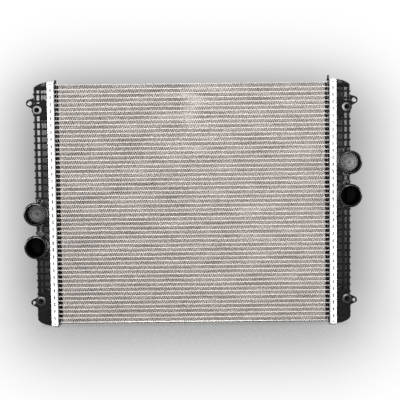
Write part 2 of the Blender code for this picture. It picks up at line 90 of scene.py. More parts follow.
PACKS = sorted(n for n in frame["nodes"] if n.startswith("core_pack"))
pack_lo, pack_hi = box[PACKS[0]]
PITCH = (box[PACKS[1]][0].z - pack_lo.z) / 2         # a pack holds two fin rows
TUBE_END, TUBE_Y = pack_hi.x, pack_hi.y
PLATE_T = 2.0 * MM
STACK_LO = PLATE_T
STACK_HI = box["side_plate_top"][0].z + 0.4 * MM
N_FINS = len(PACKS) * 2
N_TUBES = N_FINS - 1
TUBE_T = 2.6 * MM
FIN_H = PITCH - TUBE_T
FIN_HALF_W = 351.2 * MM

TANK_X, TANK_LO, TANK_HI = 416.8 * MM, HDR_LO + 0.9 * MM, HDR_HI - 0.9 * MM
disc_lo, disc_hi = box["blanking_disc_right"]
NECK_X = (disc_lo.x + disc_hi.x) / 2
MOUTH = -mount["hose_neck_right"][1]                 # neck mouth, forward of y = 0
NECKS = {}                                           # heights of each tank's two necks
for tag, side in SIDES:
    disc_lo, disc_hi = box["blanking_disc_" + tag]
    NECKS[tag] = [(disc_lo.z + disc_hi.z) / 2, mount["hose_neck_" + tag][2] - 26.6 * MM]
BOSS_X = middle("boss_insert_bottom_right").x
BOSS_Z = [middle(f"boss_insert_{level}_right").z for level in ("bottom", "top")]
BOSS_FACE = -mount["boss_top_right"][1]
EAR_X, EAR_Y = mount["ear_top_right"][0], mount["ear_top_right"][1]
EAR_TOP_Z = mount["ear_top_right"][2] - 7.7 * MM
EAR_LOW_Z = mount["ear_bottom_right"][2] - 6.1 * MM
DRAIN = Vector(joint["drain_turn"]["pos_m"])
RIB_PITCH, RIBS, RIB_Z0 = 18.31 * MM, 35, 4.7 * MM
CRIMPS = [RIB_Z0 - RIB_PITCH / 2 + i * RIB_PITCH for i in range(RIBS + 1)]


# ============================================================================
# shader nodes
def rgba(tone):
    """RGBA from a grey level or an RGB tuple."""
    return (*tone, 1) if isinstance(tone, tuple) else (tone, tone, tone, 1)


def is_socket(value):
    return isinstance(value, bpy.types.NodeSocket)


class Tree:
    """A node tree with a short call for each node used; every call adds its own nodes."""

    def __init__(self, tree):
        self.nodes, self.link = tree.nodes, tree.links.new

    def node(self, kind, **settings):
        made = self.nodes.new(kind)
        for key, value in settings.items():
            setattr(made, key, value)
        return made

    def put(self, value, socket):
        """Link a socket to an input, or set the input to a plain value."""
        if is_socket(value):
            self.link(value, socket)
        else:
            socket.default_value = value

    def surface(self, name, value):
        self.put(value, self.nodes["Principled BSDF"].inputs[name])

    def split(self, vector):
        made = self.node("ShaderNodeSeparateXYZ")
        self.link(vector, made.inputs[0])
        return made.outputs

    def position(self, space="Object"):
        return self.split(self.node("ShaderNodeTexCoord").outputs[space])

    def distance(self, axis):
        """|x| or |y| of the surface point in metres."""
        return self.math("ABSOLUTE", self.position()[axis])

    def normal(self, axis):
        return self.split(self.node("ShaderNodeNewGeometry").outputs["Normal"])[axis]

    def math(self, operation, a, b=0.0):
        made = self.node("ShaderNodeMath", operation=operation)
        self.put(a, made.inputs[0])
        self.put(b, made.inputs[1])
        return made.outputs[0]

    def add(self, a, b):
        return self.math("ADD", a, b)

    def sub(self, a, b):
        return self.math("SUBTRACT", a, b)

    def mul(self, *values):
        return reduce(lambda a, b: self.math("MULTIPLY", a, b), values)

    def max(self, *values):
        return reduce(lambda a, b: self.math("MAXIMUM", a, b), values)

    def map_range(self, value, **limits):
        """Straight clamped map; limits such as From_Min default to 0 and 1."""
        made = self.node("ShaderNodeMapRange")
        for key, limit in limits.items():
            made.inputs[key.replace("_", " ")].default_value = limit
        self.link(value, made.inputs["Value"])
        return made.outputs["Result"]

    def step(self, value, start, end):
        """0 at start, 1 at end, straight between."""
        return self.map_range(value, From_Min=start, From_Max=end)

    def noise(self, scale, detail, roughness, stretch=(1, 1, 1), distortion=0.0):
        """Noise in object coordinates, the same in metres for every piece."""
        mapping = self.node("ShaderNodeMapping")
        mapping.inputs["Scale"].default_value = stretch
        self.link(self.node("ShaderNodeTexCoord").outputs["Object"], mapping.inputs["Vector"])
        made = self.node("ShaderNodeTexNoise")
        made.inputs["Scale"].default_value = scale
        made.inputs["Detail"].default_value = detail
        made.inputs["Roughness"].default_value = roughness
        made.inputs["Distortion"].default_value = distortion
        self.link(mapping.outputs["Vector"], made.inputs["Vector"])
        return made.outputs["Fac"]

    def ramp(self, fac, tones, at=(0.3, 0.7)):
        """Two-stop colour ramp."""
        made = self.node("ShaderNodeValToRGB")
        for stop, place, tone in zip(made.color_ramp.elements, at, tones):
            stop.position = place
            stop.color = rgba(tone)
        self.link(fac, made.inputs["Fac"])
        return made.outputs["Color"]

    def mix(self, fac, a, b):
        made = self.node("ShaderNodeMix", data_type="RGBA")
        self.link(fac, made.inputs[0])
        for socket, value in ((made.inputs[6], a), (made.inputs[7], b)):
            self.put(value if is_socket(value) else rgba(value), socket)
        return made.outputs[2]

    def mix_shader(self, fac, a, b):
        made = self.node("ShaderNodeMixShader")
        for socket, value in zip(made.inputs, (fac, a, b)):
            self.link(value, socket)
        return made.outputs["Shader"]

    def bump(self, height, strength, distance):
        made = self.node("ShaderNodeBump")
        made.inputs["Strength"].default_value = strength
        made.inputs["Distance"].default_value = distance
        self.link(height, made.inputs["Height"])
        self.surface("Normal", made.outputs["Normal"])


def new_material(name):
    material = bpy.data.materials.new(name)
    material.use_nodes = True
    return material, Tree(material.node_tree)


# ============================================================================
# painted shade masks for the aluminium, with streaky darkening on the fins: 0 clean, 1 black
def fin_shade_and_streaks(tree):
    """Painted shade beyond the last fin wave, and on the walls behind the hemmed edges where streaks break it up;
    streaky darkening on the hemmed edges themselves.
    """
    # painted shade at the strip's two ends
    end = tree.step(tree.distance("X"), FIN_HALF_W - 0.3 * MM, FIN_HALF_W)
    streak = tree.noise(scale=9.0, detail=3, roughness=0.55, stretch=(1, 0.2, 14))
    streak = tree.step(streak, 0.30, 0.66)
    # painted shade inside the channels, behind the hemmed edges
    deep = tree.add(-0.18, tree.mul(streak, 0.50))
    deep = tree.mul(tree.step(tree.distance("Y"), 19.7 * MM, 19.1 * MM), deep)
    # streaky darkening on the hemmed front and back edges
    hem = tree.add(0.08, tree.mul(streak, 0.42))
    hem = tree.mul(tree.step(tree.distance("Y"), 19.4 * MM, 19.7 * MM), hem)
    return tree.max(tree.mul(end, 0.94), tree.max(deep, hem))


def tube_end_shade(tree):
    """Painted shade on the tube ends between the last fin and the tube plate, light at the front noses and dark
    behind them.
    """
    ends = tree.step(tree.distance("X"), FIN_HALF_W - 0.4 * MM, FIN_HALF_W + 0.3 * MM)
    deep = tree.mul(tree.step(tree.distance("Y"), 20.1 * MM, 19.5 * MM), 0.75)
    return tree.mul(ends, tree.add(0.2, deep))


def header_shade(tree):
    """Painted shade on the core side of the tube plate and on its shoulder, and in the hollows of the crimps."""
    x, y, z = tree.distance("X"), tree.distance("Y"), tree.position()["Z"]
    web = tree.mul(
        tree.step(x, WEB_X + 1.1 * MM, WEB_X + 0.5 * MM),
        tree.step(y, 29.2 * MM, 28.2 * MM),
        tree.sub(0.97, tree.mul(tree.step(y, 12.0 * MM, 25.0 * MM), 0.22)))
    shoulder = tree.mul(tree.step(x, WEB_X + 2.9 * MM, WEB_X + 1.5 * MM), 0.55)
    crimps = tree.mul(
        tree.step(y, 29.2 * MM, 28.6 * MM),
        tree.step(x, WEB_X + 5.0 * MM, WEB_X + 6.0 * MM),
        tree.mul(tree.step(z, HDR_HI - 3.5 * MM, HDR_HI - 5.5 * MM),
                 tree.step(z, HDR_LO + 3.5 * MM, HDR_LO + 5.5 * MM)))
    return tree.max(web, shoulder, tree.mul(crimps, 0.5))


def plate_shade(tree):
    """Painted shade on the tab tips above the upper plate, and on the lower plate's lowest edge where it faces
    down or forward.
    """
    z = tree.position()["Z"]
    tabs = tree.step(z, STACK_HI + 3.2 * MM, STACK_HI + 5.0 * MM)
    low = tree.step(z, 0.25 * MM, -0.15 * MM)
    edge = tree.max(tree.step(tree.normal("Z"), -0.75, -0.85),
                    tree.step(tree.normal("Y"), -0.4, -0.8))
    return tree.max(tabs, tree.mul(low, edge))


# ============================================================================
# materials
def aluminium(name, dark, light, blotch, metallic, roughness, grain, shade_and_streaks_mask,
              grain_scale=40.0, grain_depth=0.04 * MM):
    """Brazed sheet: rolled grain, pale flux blotches, and painted shade (with streaky darkening on the fins) that
    is neither shiny nor metal.
    """
    material, tree = new_material(name)
    rolled = tree.noise(scale=grain_scale, detail=5, roughness=0.6, stretch=grain)
    base = tree.ramp(rolled, (dark, light), at=(0.25, 0.75))
    flux = tree.noise(scale=34.0, detail=6, roughness=0.62, distortion=0.4)
    base = tree.mix(tree.ramp(flux, (0.0, 0.7), at=(0.56, 0.80)), base, blotch)
    shade_and_streaks = shade_and_streaks_mask(tree)
    # painted shade, with streaky darkening on the fins, mixes the colour towards near black
    tree.surface("Base Color", tree.mix(shade_and_streaks, base, (0.012, 0.011, 0.010)))
    tree.surface("Specular IOR Level", tree.map_range(shade_and_streaks, To_Min=0.5, To_Max=0.0))
    tree.surface("Metallic", tree.mul(tree.sub(1.0, shade_and_streaks), metallic))
    gloss = tree.noise(scale=90.0, detail=4, roughness=0.6)
    tree.surface("Roughness", tree.ramp(gloss, roughness))
    fine = tree.noise(scale=grain_scale * 6, detail=4, roughness=0.6, stretch=grain)
    tree.bump(fine, strength=0.35, distance=grain_depth)
    return material


def near_neck(tree, side, neck_z, inner, outer):
    """1 within inner of a neck's axis, 0 beyond outer."""
    point = tree.position()
    dx = tree.sub(point["X"], side * NECK_X)
    dz = tree.sub(point["Z"], neck_z)
    radius = tree.math("SQRT", tree.add(tree.mul(dx, dx), tree.mul(dz, dz)))
    return tree.step(radius, outer, inner)


def tank_wear_and_painted_light(tree, base, roughness, tag, side):
    """Rib crests keep a dull mould grain and pockets are polished; the inside is dull and darkened as painted
    shade, and some low faces are lightened as painted light.
    """
    y, x, z = tree.distance("Y"), tree.distance("X"), tree.position()["Z"]
    # crests on the front and back, and on the outer face
    faces = tree.mul(tree.step(y, 22.6 * MM, 23.6 * MM), tree.step(y, 28.5 * MM, 26.2 * MM))
    flank = tree.mul(tree.step(x, 416.8 * MM, 417.6 * MM), tree.step(x, 420.2 * MM, 419.2 * MM))
    dull = tree.max(faces, flank)
    for neck_z in NECKS[tag]:
        skirt = tree.mul(near_neck(tree, side, neck_z, 35.0 * MM, 37.5 * MM),
                         tree.step(y, 29.0 * MM, 28.0 * MM))
        dull = tree.mul(dull, tree.sub(1.0, skirt))
    # the strip beside the core, fading out upward
    strip = tree.mul(tree.step(x, 397.6 * MM, 396.6 * MM),
                     tree.step(z, 570.0 * MM, 400.0 * MM), 0.62)
    dull = tree.max(dull, strip)
    # painted light: low surfaces between 32 and 34 mm from the middle plane are lightened
    pale = tree.mul(tree.step(y, 31.8 * MM, 32.3 * MM), tree.step(y, 33.8 * MM, 33.4 * MM),
                    tree.step(z, 80.0 * MM, 76.0 * MM))
    base = tree.mix(pale, base, 0.020)
    # painted shade: the bores, and the hollow behind them, are darkened to near black and lose most of their shine
    inside = tree.mul(tree.step(y, 19.4 * MM, 19.0 * MM), tree.step(x, 412.6 * MM, 412.1 * MM))
    for neck_z in NECKS[tag]:
        bore = tree.mul(near_neck(tree, side, neck_z, 25.1 * MM, 25.6 * MM),
                        tree.step(y, 73.8 * MM, 72.8 * MM))
        inside = tree.max(inside, bore)
    roughness = tree.mix(tree.max(dull, inside), roughness, 0.62)
    base = tree.mix(inside, base, 0.0012)
    shine = tree.map_range(dull, To_Min=0.55, To_Max=0.09)
    shine = tree.mul(shine, tree.sub(1.0, tree.mul(inside, 0.93)))
    tree.surface("Specular IOR Level", shine)
    return base, roughness


def nylon(name, tones, roughness, fibre, tank=None):
    """Glass-filled nylon: short pale fibres in a dark base, moulded grain, uneven gloss.
    tank is the (tag, side) of a tank, which adds its wear, its painted shade and its painted light."""
    material, tree = new_material(name)
    cloud = tree.noise(scale=22.0, detail=5, roughness=0.6, stretch=(1, 1, 0.5), distortion=0.3)
    base = tree.ramp(cloud, tones, at=(0.3, 0.75))
    fibres = tree.noise(scale=700.0, detail=2, roughness=0.5, stretch=(1, 1, 0.25))
    base = tree.mix(tree.ramp(fibres, (0.0, 1.0), at=(0.66, 0.74)), base, fibre)
    gloss = tree.noise(scale=60.0, detail=5, roughness=0.65)
    gloss = tree.ramp(gloss, roughness, at=(0.3, 0.72))
    if tank:
        base, gloss = tank_wear_and_painted_light(tree, base, gloss, *tank)
    tree.surface("Base Color", base)
    tree.surface("Roughness", gloss)
    grain = tree.noise(scale=1400.0, detail=3, roughness=0.6)
    tree.bump(grain, strength=0.2, distance=0.02 * MM)
    return material


def dark_matt(name, tones, tone_scale, roughness, gloss_scale, grain_scale, strength, depth,
              metallic=0.0):
    """Near-black surface with a cloudy tone, uneven gloss and fine grain."""
    material, tree = new_material(name)
    tone = tree.noise(scale=tone_scale, detail=5, roughness=0.6)
    tree.surface("Base Color", tree.ramp(tone, tones))
    gloss = tree.noise(scale=gloss_scale, detail=3, roughness=0.6)
    tree.surface("Roughness", tree.ramp(gloss, roughness))
    tree.surface("Metallic", metallic)
    grain = tree.noise(scale=grain_scale, detail=3, roughness=0.6)
    tree.bump(grain, strength=strength, distance=depth)
    return material


M_FIN = aluminium(
    "fin_aluminium", dark=(0.47, 0.434, 0.408), light=(0.535, 0.494, 0.464),
    blotch=(0.57, 0.533, 0.505), metallic=0.08, roughness=(0.46, 0.60), grain=(1, 1, 8),
    grain_scale=60.0, shade_and_streaks_mask=fin_shade_and_streaks)
M_TUBE = aluminium(
    "tube_aluminium", dark=(0.53, 0.494, 0.47), light=(0.61, 0.568, 0.54),
    blotch=(0.65, 0.62, 0.60), metallic=0.10, roughness=(0.46, 0.60), grain=(2, 80, 80),
    shade_and_streaks_mask=tube_end_shade)
M_PLATE = aluminium(
    "side_plate_aluminium", dark=(0.57, 0.55, 0.53), light=(0.66, 0.635, 0.61),
    blotch=(0.72, 0.695, 0.67), metallic=0.30, roughness=(0.38, 0.52), grain=(2, 60, 60),
    shade_and_streaks_mask=plate_shade)
M_PLATE_TOP = aluminium(
    "upper_plate_aluminium", dark=(0.35, 0.338, 0.327), light=(0.42, 0.405, 0.392),
    blotch=(0.48, 0.466, 0.452), metallic=0.20, roughness=(0.42, 0.56), grain=(2, 60, 60),
    shade_and_streaks_mask=plate_shade)
M_HEADER = aluminium(
    "header_aluminium", dark=(0.84, 0.84, 0.845), light=(0.90, 0.90, 0.90),
    blotch=(0.92, 0.92, 0.92), metallic=0.15, roughness=(0.44, 0.56), grain=(60, 60, 2),
    grain_depth=0.03 * MM, shade_and_streaks_mask=header_shade)
M_TANK = {tag: nylon("tank_nylon_" + tag, tones=(0.003, 0.007), roughness=(0.19, 0.25),
                     fibre=0.02, tank=(tag, side)) for tag, side in SIDES}
# One nylon for both discs: the left copy is darker, painted shade from the neck, and the right copy lighter, a
# painted reflection of the lights.
M_DISC = {
    "left": nylon("blanking_disc_nylon_shaded_left", tones=(0.015, 0.027), roughness=(0.42, 0.54),
                  fibre=0.07),
    "right": nylon("blanking_disc_nylon_lit_right", tones=(0.075, 0.115), roughness=(0.36, 0.48),
                   fibre=0.16)}
M_DRAIN = nylon("drain_screw_nylon", tones=(0.055, 0.085), roughness=(0.34, 0.46), fibre=0.12)
M_RUBBER = dark_matt(
    "gasket_rubber", tones=(0.010, 0.022), tone_scale=120.0, roughness=(0.62, 0.8),
    gloss_scale=300.0, grain_scale=900.0, strength=0.3, depth=0.04 * MM)
M_STEEL = dark_matt(
    "insert_black_steel", tones=((0.012, 0.012, 0.013), (0.030, 0.029, 0.028)),
    tone_scale=180.0, roughness=(0.45, 0.62), gloss_scale=400.0, grain_scale=1200.0,
    strength=0.2, depth=0.03 * MM, metallic=0.7)


# ============================================================================
# mesh helpers
def add_object(mesh, name="part"):
    obj = bpy.data.objects.new(name, mesh)
    scene.collection.objects.link(obj)
    return obj


def make(verts, faces):
    mesh = bpy.data.meshes.new("part")
    mesh.from_pydata(verts, [], faces)
    mesh.update()
    return add_object(mesh)


@contextmanager
def editing(mesh):
    """The mesh as a bmesh, written back at the end."""
    edit = bmesh.new()
    edit.from_mesh(mesh)
    yield edit
    edit.to_mesh(mesh)
    edit.free()


def clean(obj, weld):
    with editing(obj.data) as edit:
        bmesh.ops.remove_doubles(edit, verts=edit.verts, dist=weld)
        bmesh.ops.recalc_face_normals(edit, faces=edit.faces)


def apply_modifiers(obj):
    bpy.context.view_layer.update()
    evaluated = obj.evaluated_get(bpy.context.evaluated_depsgraph_get())
    mesh = bpy.data.meshes.new_from_object(evaluated)
    obj.modifiers.clear()
    obj.data = mesh


def boolean(obj, other, operation):
    """Combine obj with other, and remove other."""
    modifier = obj.modifiers.new("boolean", "BOOLEAN")
    modifier.operation, modifier.object, modifier.solver = operation, other, "EXACT"
    apply_modifiers(obj)
    bpy.data.objects.remove(other, do_unlink=True)


def bevel(obj, width, segments, angle):
    modifier = obj.modifiers.new("bevel", "BEVEL")
    modifier.width, modifier.segments = width, segments
    modifier.limit_method, modifier.angle_limit = "ANGLE", math.radians(angle)
    modifier.use_clamp_overlap = True
    apply_modifiers(obj)


def join(parts):
    """Several meshes as one object of separate closed bodies."""
    mesh = bpy.data.meshes.new("part")
    with editing(mesh) as edit:
        for part in parts:
            edit.from_mesh(part.data)
    for part in parts:
        bpy.data.objects.remove(part, do_unlink=True)
    return add_object(mesh)


def arc(x, y, radius, start, end, steps):
    angles = [start + (end - start) * i / steps for i in range(steps + 1)]
    return [(x + radius * math.cos(a), y + radius * math.sin(a)) for a in angles]


def circle(x, y, radius, steps):
    return arc(x, y, radius, 0, 2 * pi, steps)[:-1]


def stadium(centre, radius, steps):
    """Two half circles centred at -centre and centre on the first axis."""
    return (arc(-centre, 0, radius, pi / 2, 3 * pi / 2, steps)
            + arc(centre, 0, radius, -pi / 2, pi / 2, steps))


def rounded_rect(x0, y0, x1, y1, r, steps):
    return (arc(x1 - r, y0 + r, r, -pi / 2, 0, steps) + arc(x1 - r, y1 - r, r, 0, pi / 2, steps)
            + arc(x0 + r, y1 - r, r, pi / 2, pi, steps)
            + arc(x0 + r, y0 + r, r, pi, 3 * pi / 2, steps))


def mirrored(points, side):
    return [(side * a, b) for a, b in points]


# rotation of a flat outline into its plane, and the axis it is extruded along
PLANES = {"XY": (((1, 0, 0), (0, 1, 0), (0, 0, 1)), (0, 0, 1)),
          "XZ": (((1, 0, 0), (0, 0, -1), (0, 1, 0)), (0, 1, 0)),
          "YZ": (((0, 0, 1), (1, 0, 0), (0, 1, 0)), (1, 0, 0))}


def prism(loops, plane, low, high, bevel_width=0.0):
    """Flat outline with holes, extruded along the third axis, in world coordinates."""
    curve = bpy.data.curves.new("outline", "CURVE")
    curve.dimensions, curve.fill_mode, curve.extrude = "2D", "BOTH", (high - low) / 2
    for loop in loops:
        spline = curve.splines.new("POLY")
        spline.points.add(len(loop) - 1)
        for point, (a, b) in zip(spline.points, loop):
            point.co = (a, b, 0, 1)
        spline.use_cyclic_u = True
    outline = add_object(curve)
    bpy.context.view_layer.update()
    evaluated = outline.evaluated_get(bpy.context.evaluated_depsgraph_get())
    mesh = bpy.data.meshes.new_from_object(evaluated)
    rotation, axis = PLANES[plane]
    centre = [(low + high) / 2 * part for part in axis]
    mesh.transform(Matrix.Translation(centre) @ Matrix(rotation).to_4x4())
    with editing(mesh) as edit:
        bmesh.ops.remove_doubles(edit, verts=edit.verts, dist=1e-6)
        bmesh.ops.dissolve_limit(edit, angle_limit=0.002, verts=edit.verts, edges=edit.edges)
        bmesh.ops.recalc_face_normals(edit, faces=edit.faces)
    obj = add_object(mesh)
    bpy.data.objects.remove(outline, do_unlink=True)
    bpy.data.curves.remove(curve)
    if bevel_width:
        bevel(obj, bevel_width, segments=3, angle=40)
    return obj


def profile(base, points, rim=0.0):
    """Lathe points from (radius, height) in mm, measured from a rim radius and a base height."""
    return [(rim + r * MM, base + h * MM) for r, h in points]


FRONT, BACK = -1, 1


def lathe(points, x, z, steps, spin=0.0, facing=FRONT, wobble=None):
    """Surface of revolution about a Y axis through (x, z), heights growing towards facing.
    The profile of (radius, height) has both ends on the axis, or is a closed loop."""
    closed = points[0][0] > 1e-7 or points[-1][0] > 1e-7
    centre = Vector((x, 0, z))
    axis, across, upward = Vector((0, facing, 0)), Vector((1, 0, 0)), Vector((0, 0, -facing))
    verts, rings = [], []
    for radius, height in points:
        if radius < 1e-7:
            rings.append([len(verts)])
            verts.append(centre + axis * height)
            continue
        rings.append(list(range(len(verts), len(verts) + steps)))
        for i in range(steps):
            angle = 2 * pi * i / steps + spin
            reach = radius if wobble is None else radius + wobble(radius, height, angle)
            spoke = across * math.cos(angle) + upward * math.sin(angle)
            verts.append(centre + axis * height + spoke * reach)
    faces = []
    pairs = list(zip(rings, rings[1:])) + ([(rings[-1], rings[0])] if closed else [])
    for a, b in pairs:
        for i in range(steps):
            j = (i + 1) % steps
            face = []
            for ring, k in ((a, i), (a, j), (b, j), (b, i)):
                vert = ring[k] if len(ring) > 1 else ring[0]
                if vert not in face:
                    face.append(vert)
            if len(face) > 2:
                faces.append(face)
    obj = make([tuple(v) for v in verts], faces)
    clean(obj, 1e-8)
    return obj


def close_pinholes(obj):
    """A cut through many facets can leave a sliver open; close it."""
    edit = bmesh.new()
    edit.from_mesh(obj.data)
    open_edges = [e for e in edit.edges if len(e.link_faces) == 1]
    if open_edges:
        bmesh.ops.holes_fill(edit, edges=open_edges, sides=8)
        edit.to_mesh(obj.data)
    edit.free()


def finish(obj, name, material, replaces, angle=35.0, body="radiator"):
    """Name, material and smooth shading, and the piece's place in the frame."""
    obj.name = name
    obj.data.name = name
    obj.data.materials.clear()
    obj.data.materials.append(material)
    for polygon in obj.data.polygons:
        polygon.material_index = 0
    close_pinholes(obj)
    obj.data.shade_smooth()
    obj.data.set_sharp_from_angle(angle=math.radians(angle))
    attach(obj, body)
    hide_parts(*replaces)


def smoothstep(a, b, x):
    t = np.clip((np.asarray(x, float) - a) / (b - a), 0, 1)
    return t * t * (3 - 2 * t)


def fade_out(a, b, x):
    """1 below a, 0 above b."""
    return 1 - float(smoothstep(a, b, x))


# ============================================================================
# core: corrugated fin strips
WAVES = 128
CREST_STEPS = 3
FIN_T = 0.20               # mm
HEM = 0.98                 # mm, each leg's front and back edge is hemmed to this thickness
rng = np.random.default_rng(7)

# Stations across a strip, front to back. Between the hemmed edges it snakes sideways, so
# nothing shows straight through. Columns: y mm, sideways shift mm, thickness mm, and the
# shares of the edge's lean, of its crushing and of the flare at the strip's two ends.
FIN_STATIONS = np.array((
    (-20.3, 0.0, HEM, 1.0, 1.0, 0.0),
    (-19.5, 0.0, HEM, 0.7, 1.0, 0.0),
    (-18.7, -0.25, FIN_T, 0.2, 0.3, 0.03),
    (-15.5, -2.85, FIN_T, 0.0, 0.0, 0.30),
    (15.5, 0.0, FIN_T, 0.0, 0.0, 0.93),
    (18.7, -2.6, FIN_T, 0.0, 0.0, 0.98),
    (19.5, -2.85, HEM, 0.0, 0.0, 1.0),
    (20.3, -2.85, HEM, 0.0, 0.0, 1.0)))

# places where fin edges are pushed over: x, z, x radius, z radius (metres), strength
DENTS = [
    (-0.004, 0.560, 0.022, 0.050, 0.60), (0.012, 0.590, 0.016, 0.012, 0.5),
    (-0.016, 0.605, 0.018, 0.006, 0.7), (0.022, 0.594, 0.012, 0.005, 0.6),
    (-0.070, 0.540, 0.02, 0.012, 0.2), (0.160, 0.30, 0.05, 0.006, 0.3),
    (-0.225, 0.19, 0.03, 0.006, 0.35), (0.24, 0.11, 0.05, 0.006, 0.3),
    (0.015, 0.46, 0.012, 0.008, 0.5), (-0.12, 0.40, 0.03, 0.005, 0.3),
    (0.06, 0.62, 0.06, 0.008, 0.3)]


def fin_line(z_low, z_high):
    """Centre line of a strip: rounded crests against the tubes, nearly upright legs between."""
    wave = 2 * FIN_HALF_W / WAVES
    radius = 0.095 * wave
    jitter = rng.normal(0, 0.010, 2 * WAVES + 2) * wave
    xs, zs = [], []
    for k in range(2 * WAVES):
        centre = -FIN_HALF_W + (k + 0.5) * wave / 2 + jitter[k]
        for i in range(CREST_STEPS + 1):
            angle = pi - pi * i / CREST_STEPS
            drop = radius * (1 - math.sin(angle))
            xs.append(centre + radius * math.cos(angle))
            zs.append(z_high - drop if k % 2 == 0 else z_low + drop)
    return np.array(xs), np.array(zs)


def fin_faces(count, stations):
    """Faces of a strip whose stations each hold an upper and a lower row of count vertices."""
    i = np.arange(count - 1)
    faces = []
    for k in range(stations - 1):
        a0, a1 = 2 * k * count, 2 * (k + 1) * count
        b0, b1 = a0 + count, a1 + count
        faces.append(np.stack([a0 + i, a1 + i, a1 + i + 1, a0 + i + 1], 1))
        faces.append(np.stack([b0 + i, b0 + i + 1, b1 + i + 1, b1 + i], 1))
        first = [a0, b0, b1, a1]
        faces.append(np.array([first]))
        faces.append(np.array([[v + count - 1 for v in reversed(first)]]))
    last = 2 * (stations - 1) * count
    faces.append(np.stack([i, i + 1, count + i + 1, count + i], 1))
    faces.append(np.stack([last + i, last + count + i, last + count + i + 1, last + i + 1], 1))
    return np.concatenate(faces)[:, ::-1]


def fin_strip(row):
    limit_low = STACK_LO + row * PITCH + 0.02 * MM
    limit_high = STACK_LO + row * PITCH + FIN_H - 0.02 * MM
    z_low, z_high = limit_low + FIN_T * MM / 2, limit_high - FIN_T * MM / 2
    xs, zs = fin_line(z_low, z_high)
    dx, dz = np.gradient(xs), np.gradient(zs)
    length = np.hypot(dx, dz)
    normal_x, normal_z = -dz / length, dx / length
    count = len(xs)
    # front edges knocked about: a little everywhere, more at the dents
    lean = rng.normal(0, 0.05, count) * MM
    press = np.zeros(count)
    z_mid = (z_low + z_high) / 2
    free = np.clip(1 - ((zs - z_mid) / ((z_high - z_low) / 2)) ** 2, 0, 1) + 0.25
    for x, z, radius_x, radius_z, strength in DENTS:
        weight = np.exp(-((xs - x) / radius_x) ** 2 - ((z_mid - z) / radius_z) ** 2)
        lean += 0.5 * strength * weight * (0.55 + 0.45 * np.sin(xs * 900 + row * 2.3)) * MM
        press += strength * weight
    # the last legs spread out towards the tube plate
    away = np.maximum(0.0, WEB_X - 1.15 * MM - np.abs(xs))
    tail = smoothstep(FIN_HALF_W - 6.2 * MM, FIN_HALF_W - 5.0 * MM, np.abs(xs)) * np.sign(xs)
    verts = []
    for y, shift, thickness, lean_share, crush_share, flare_share in FIN_STATIONS:
        offset = (shift * MM * (1 - np.abs(tail)) + lean * free * lean_share
                  + flare_share * tail * away)
        half = thickness * MM / 2 * (1 + crush_share * 1.35 * np.minimum(press, 1.0))
        for face in (1, -1):
            x = xs + face * normal_x * half + offset
            z = np.clip(zs + face * normal_z * half, limit_low, limit_high)
            verts.append(np.stack([x, np.full(count, y * MM), z], 1))
    return np.concatenate(verts), fin_faces(count, len(FIN_STATIONS))


ROWS_PER_OBJECT = 6
GROUPS = N_FINS // ROWS_PER_OBJECT


def core_groups(prefix, build, rows, material, weld=None):
    """Rows of the core, six to an object, each replacing three packs."""
    for g in range(GROUPS):
        verts, faces = [], []
        for row in range(g * ROWS_PER_OBJECT, min((g + 1) * ROWS_PER_OBJECT, rows)):
            row_verts, row_faces = build(row)
            faces += (np.array(row_faces) + len(verts)).tolist()
            verts += np.array(row_verts).tolist()
        obj = make(verts, faces)
        if weld:
            clean(obj, weld)
        packs = PACKS[g * 3:g * 3 + 3]
        finish(obj, f"{prefix}_{g + 1:02d}", material, packs, 50)


core_groups("fin_strips", fin_strip, N_FINS, M_FIN)


# ============================================================================
# core: flat tubes with round noses, hollow, a little uneven as brazed
TUBE_WALL = 0.45 * MM


def tube_z(i):
    return STACK_LO + FIN_H + TUBE_T / 2 + i * PITCH


def tube(i):
    radius = TUBE_T / 2
    outer = stadium(TUBE_Y - radius, radius, 6)
    inner = stadium(TUBE_Y - radius, radius - TUBE_WALL, 6)
    xs = np.concatenate([
        [-TUBE_END, -WEB_X - 1 * MM],
        np.linspace(-FIN_HALF_W - 2 * MM, FIN_HALF_W + 2 * MM, 45),
        [WEB_X + 1 * MM, TUBE_END]])
    phase = rng.uniform(0, 6.28, 3)
    verts, faces = [], []
    count = len(outer)
    for x in xs:
        fade = float(smoothstep(0, 12 * MM, WEB_X - abs(x)))
        bow = (0.04 * math.sin(x * 23 + phase[0]) + 0.03 * math.sin(x * 71 + phase[1])) * MM * fade
        sway = 0.05 * math.sin(x * 31 + phase[2]) * MM * fade
        verts += [(x, y + sway, tube_z(i) + z + bow * 0.35) for y, z in outer + inner]
    end = 2 * count * (len(xs) - 1)
    for a in range(0, end, 2 * count):
        b = a + 2 * count
        for j in range(count):
            k = (j + 1) % count
            faces.append((a + j, a + k, b + k, b + j))
            faces.append((a + count + j, b + count + j, b + count + k, a + count + k))
    for j in range(count):
        k = (j + 1) % count
        faces.append((j, count + j, count + k, k))
        faces.append((end + j, end + k, end + count + k, end + count + j))
    return verts, faces


core_groups("flat_tubes", tube, N_TUBES, M_TUBE, weld=1e-9)


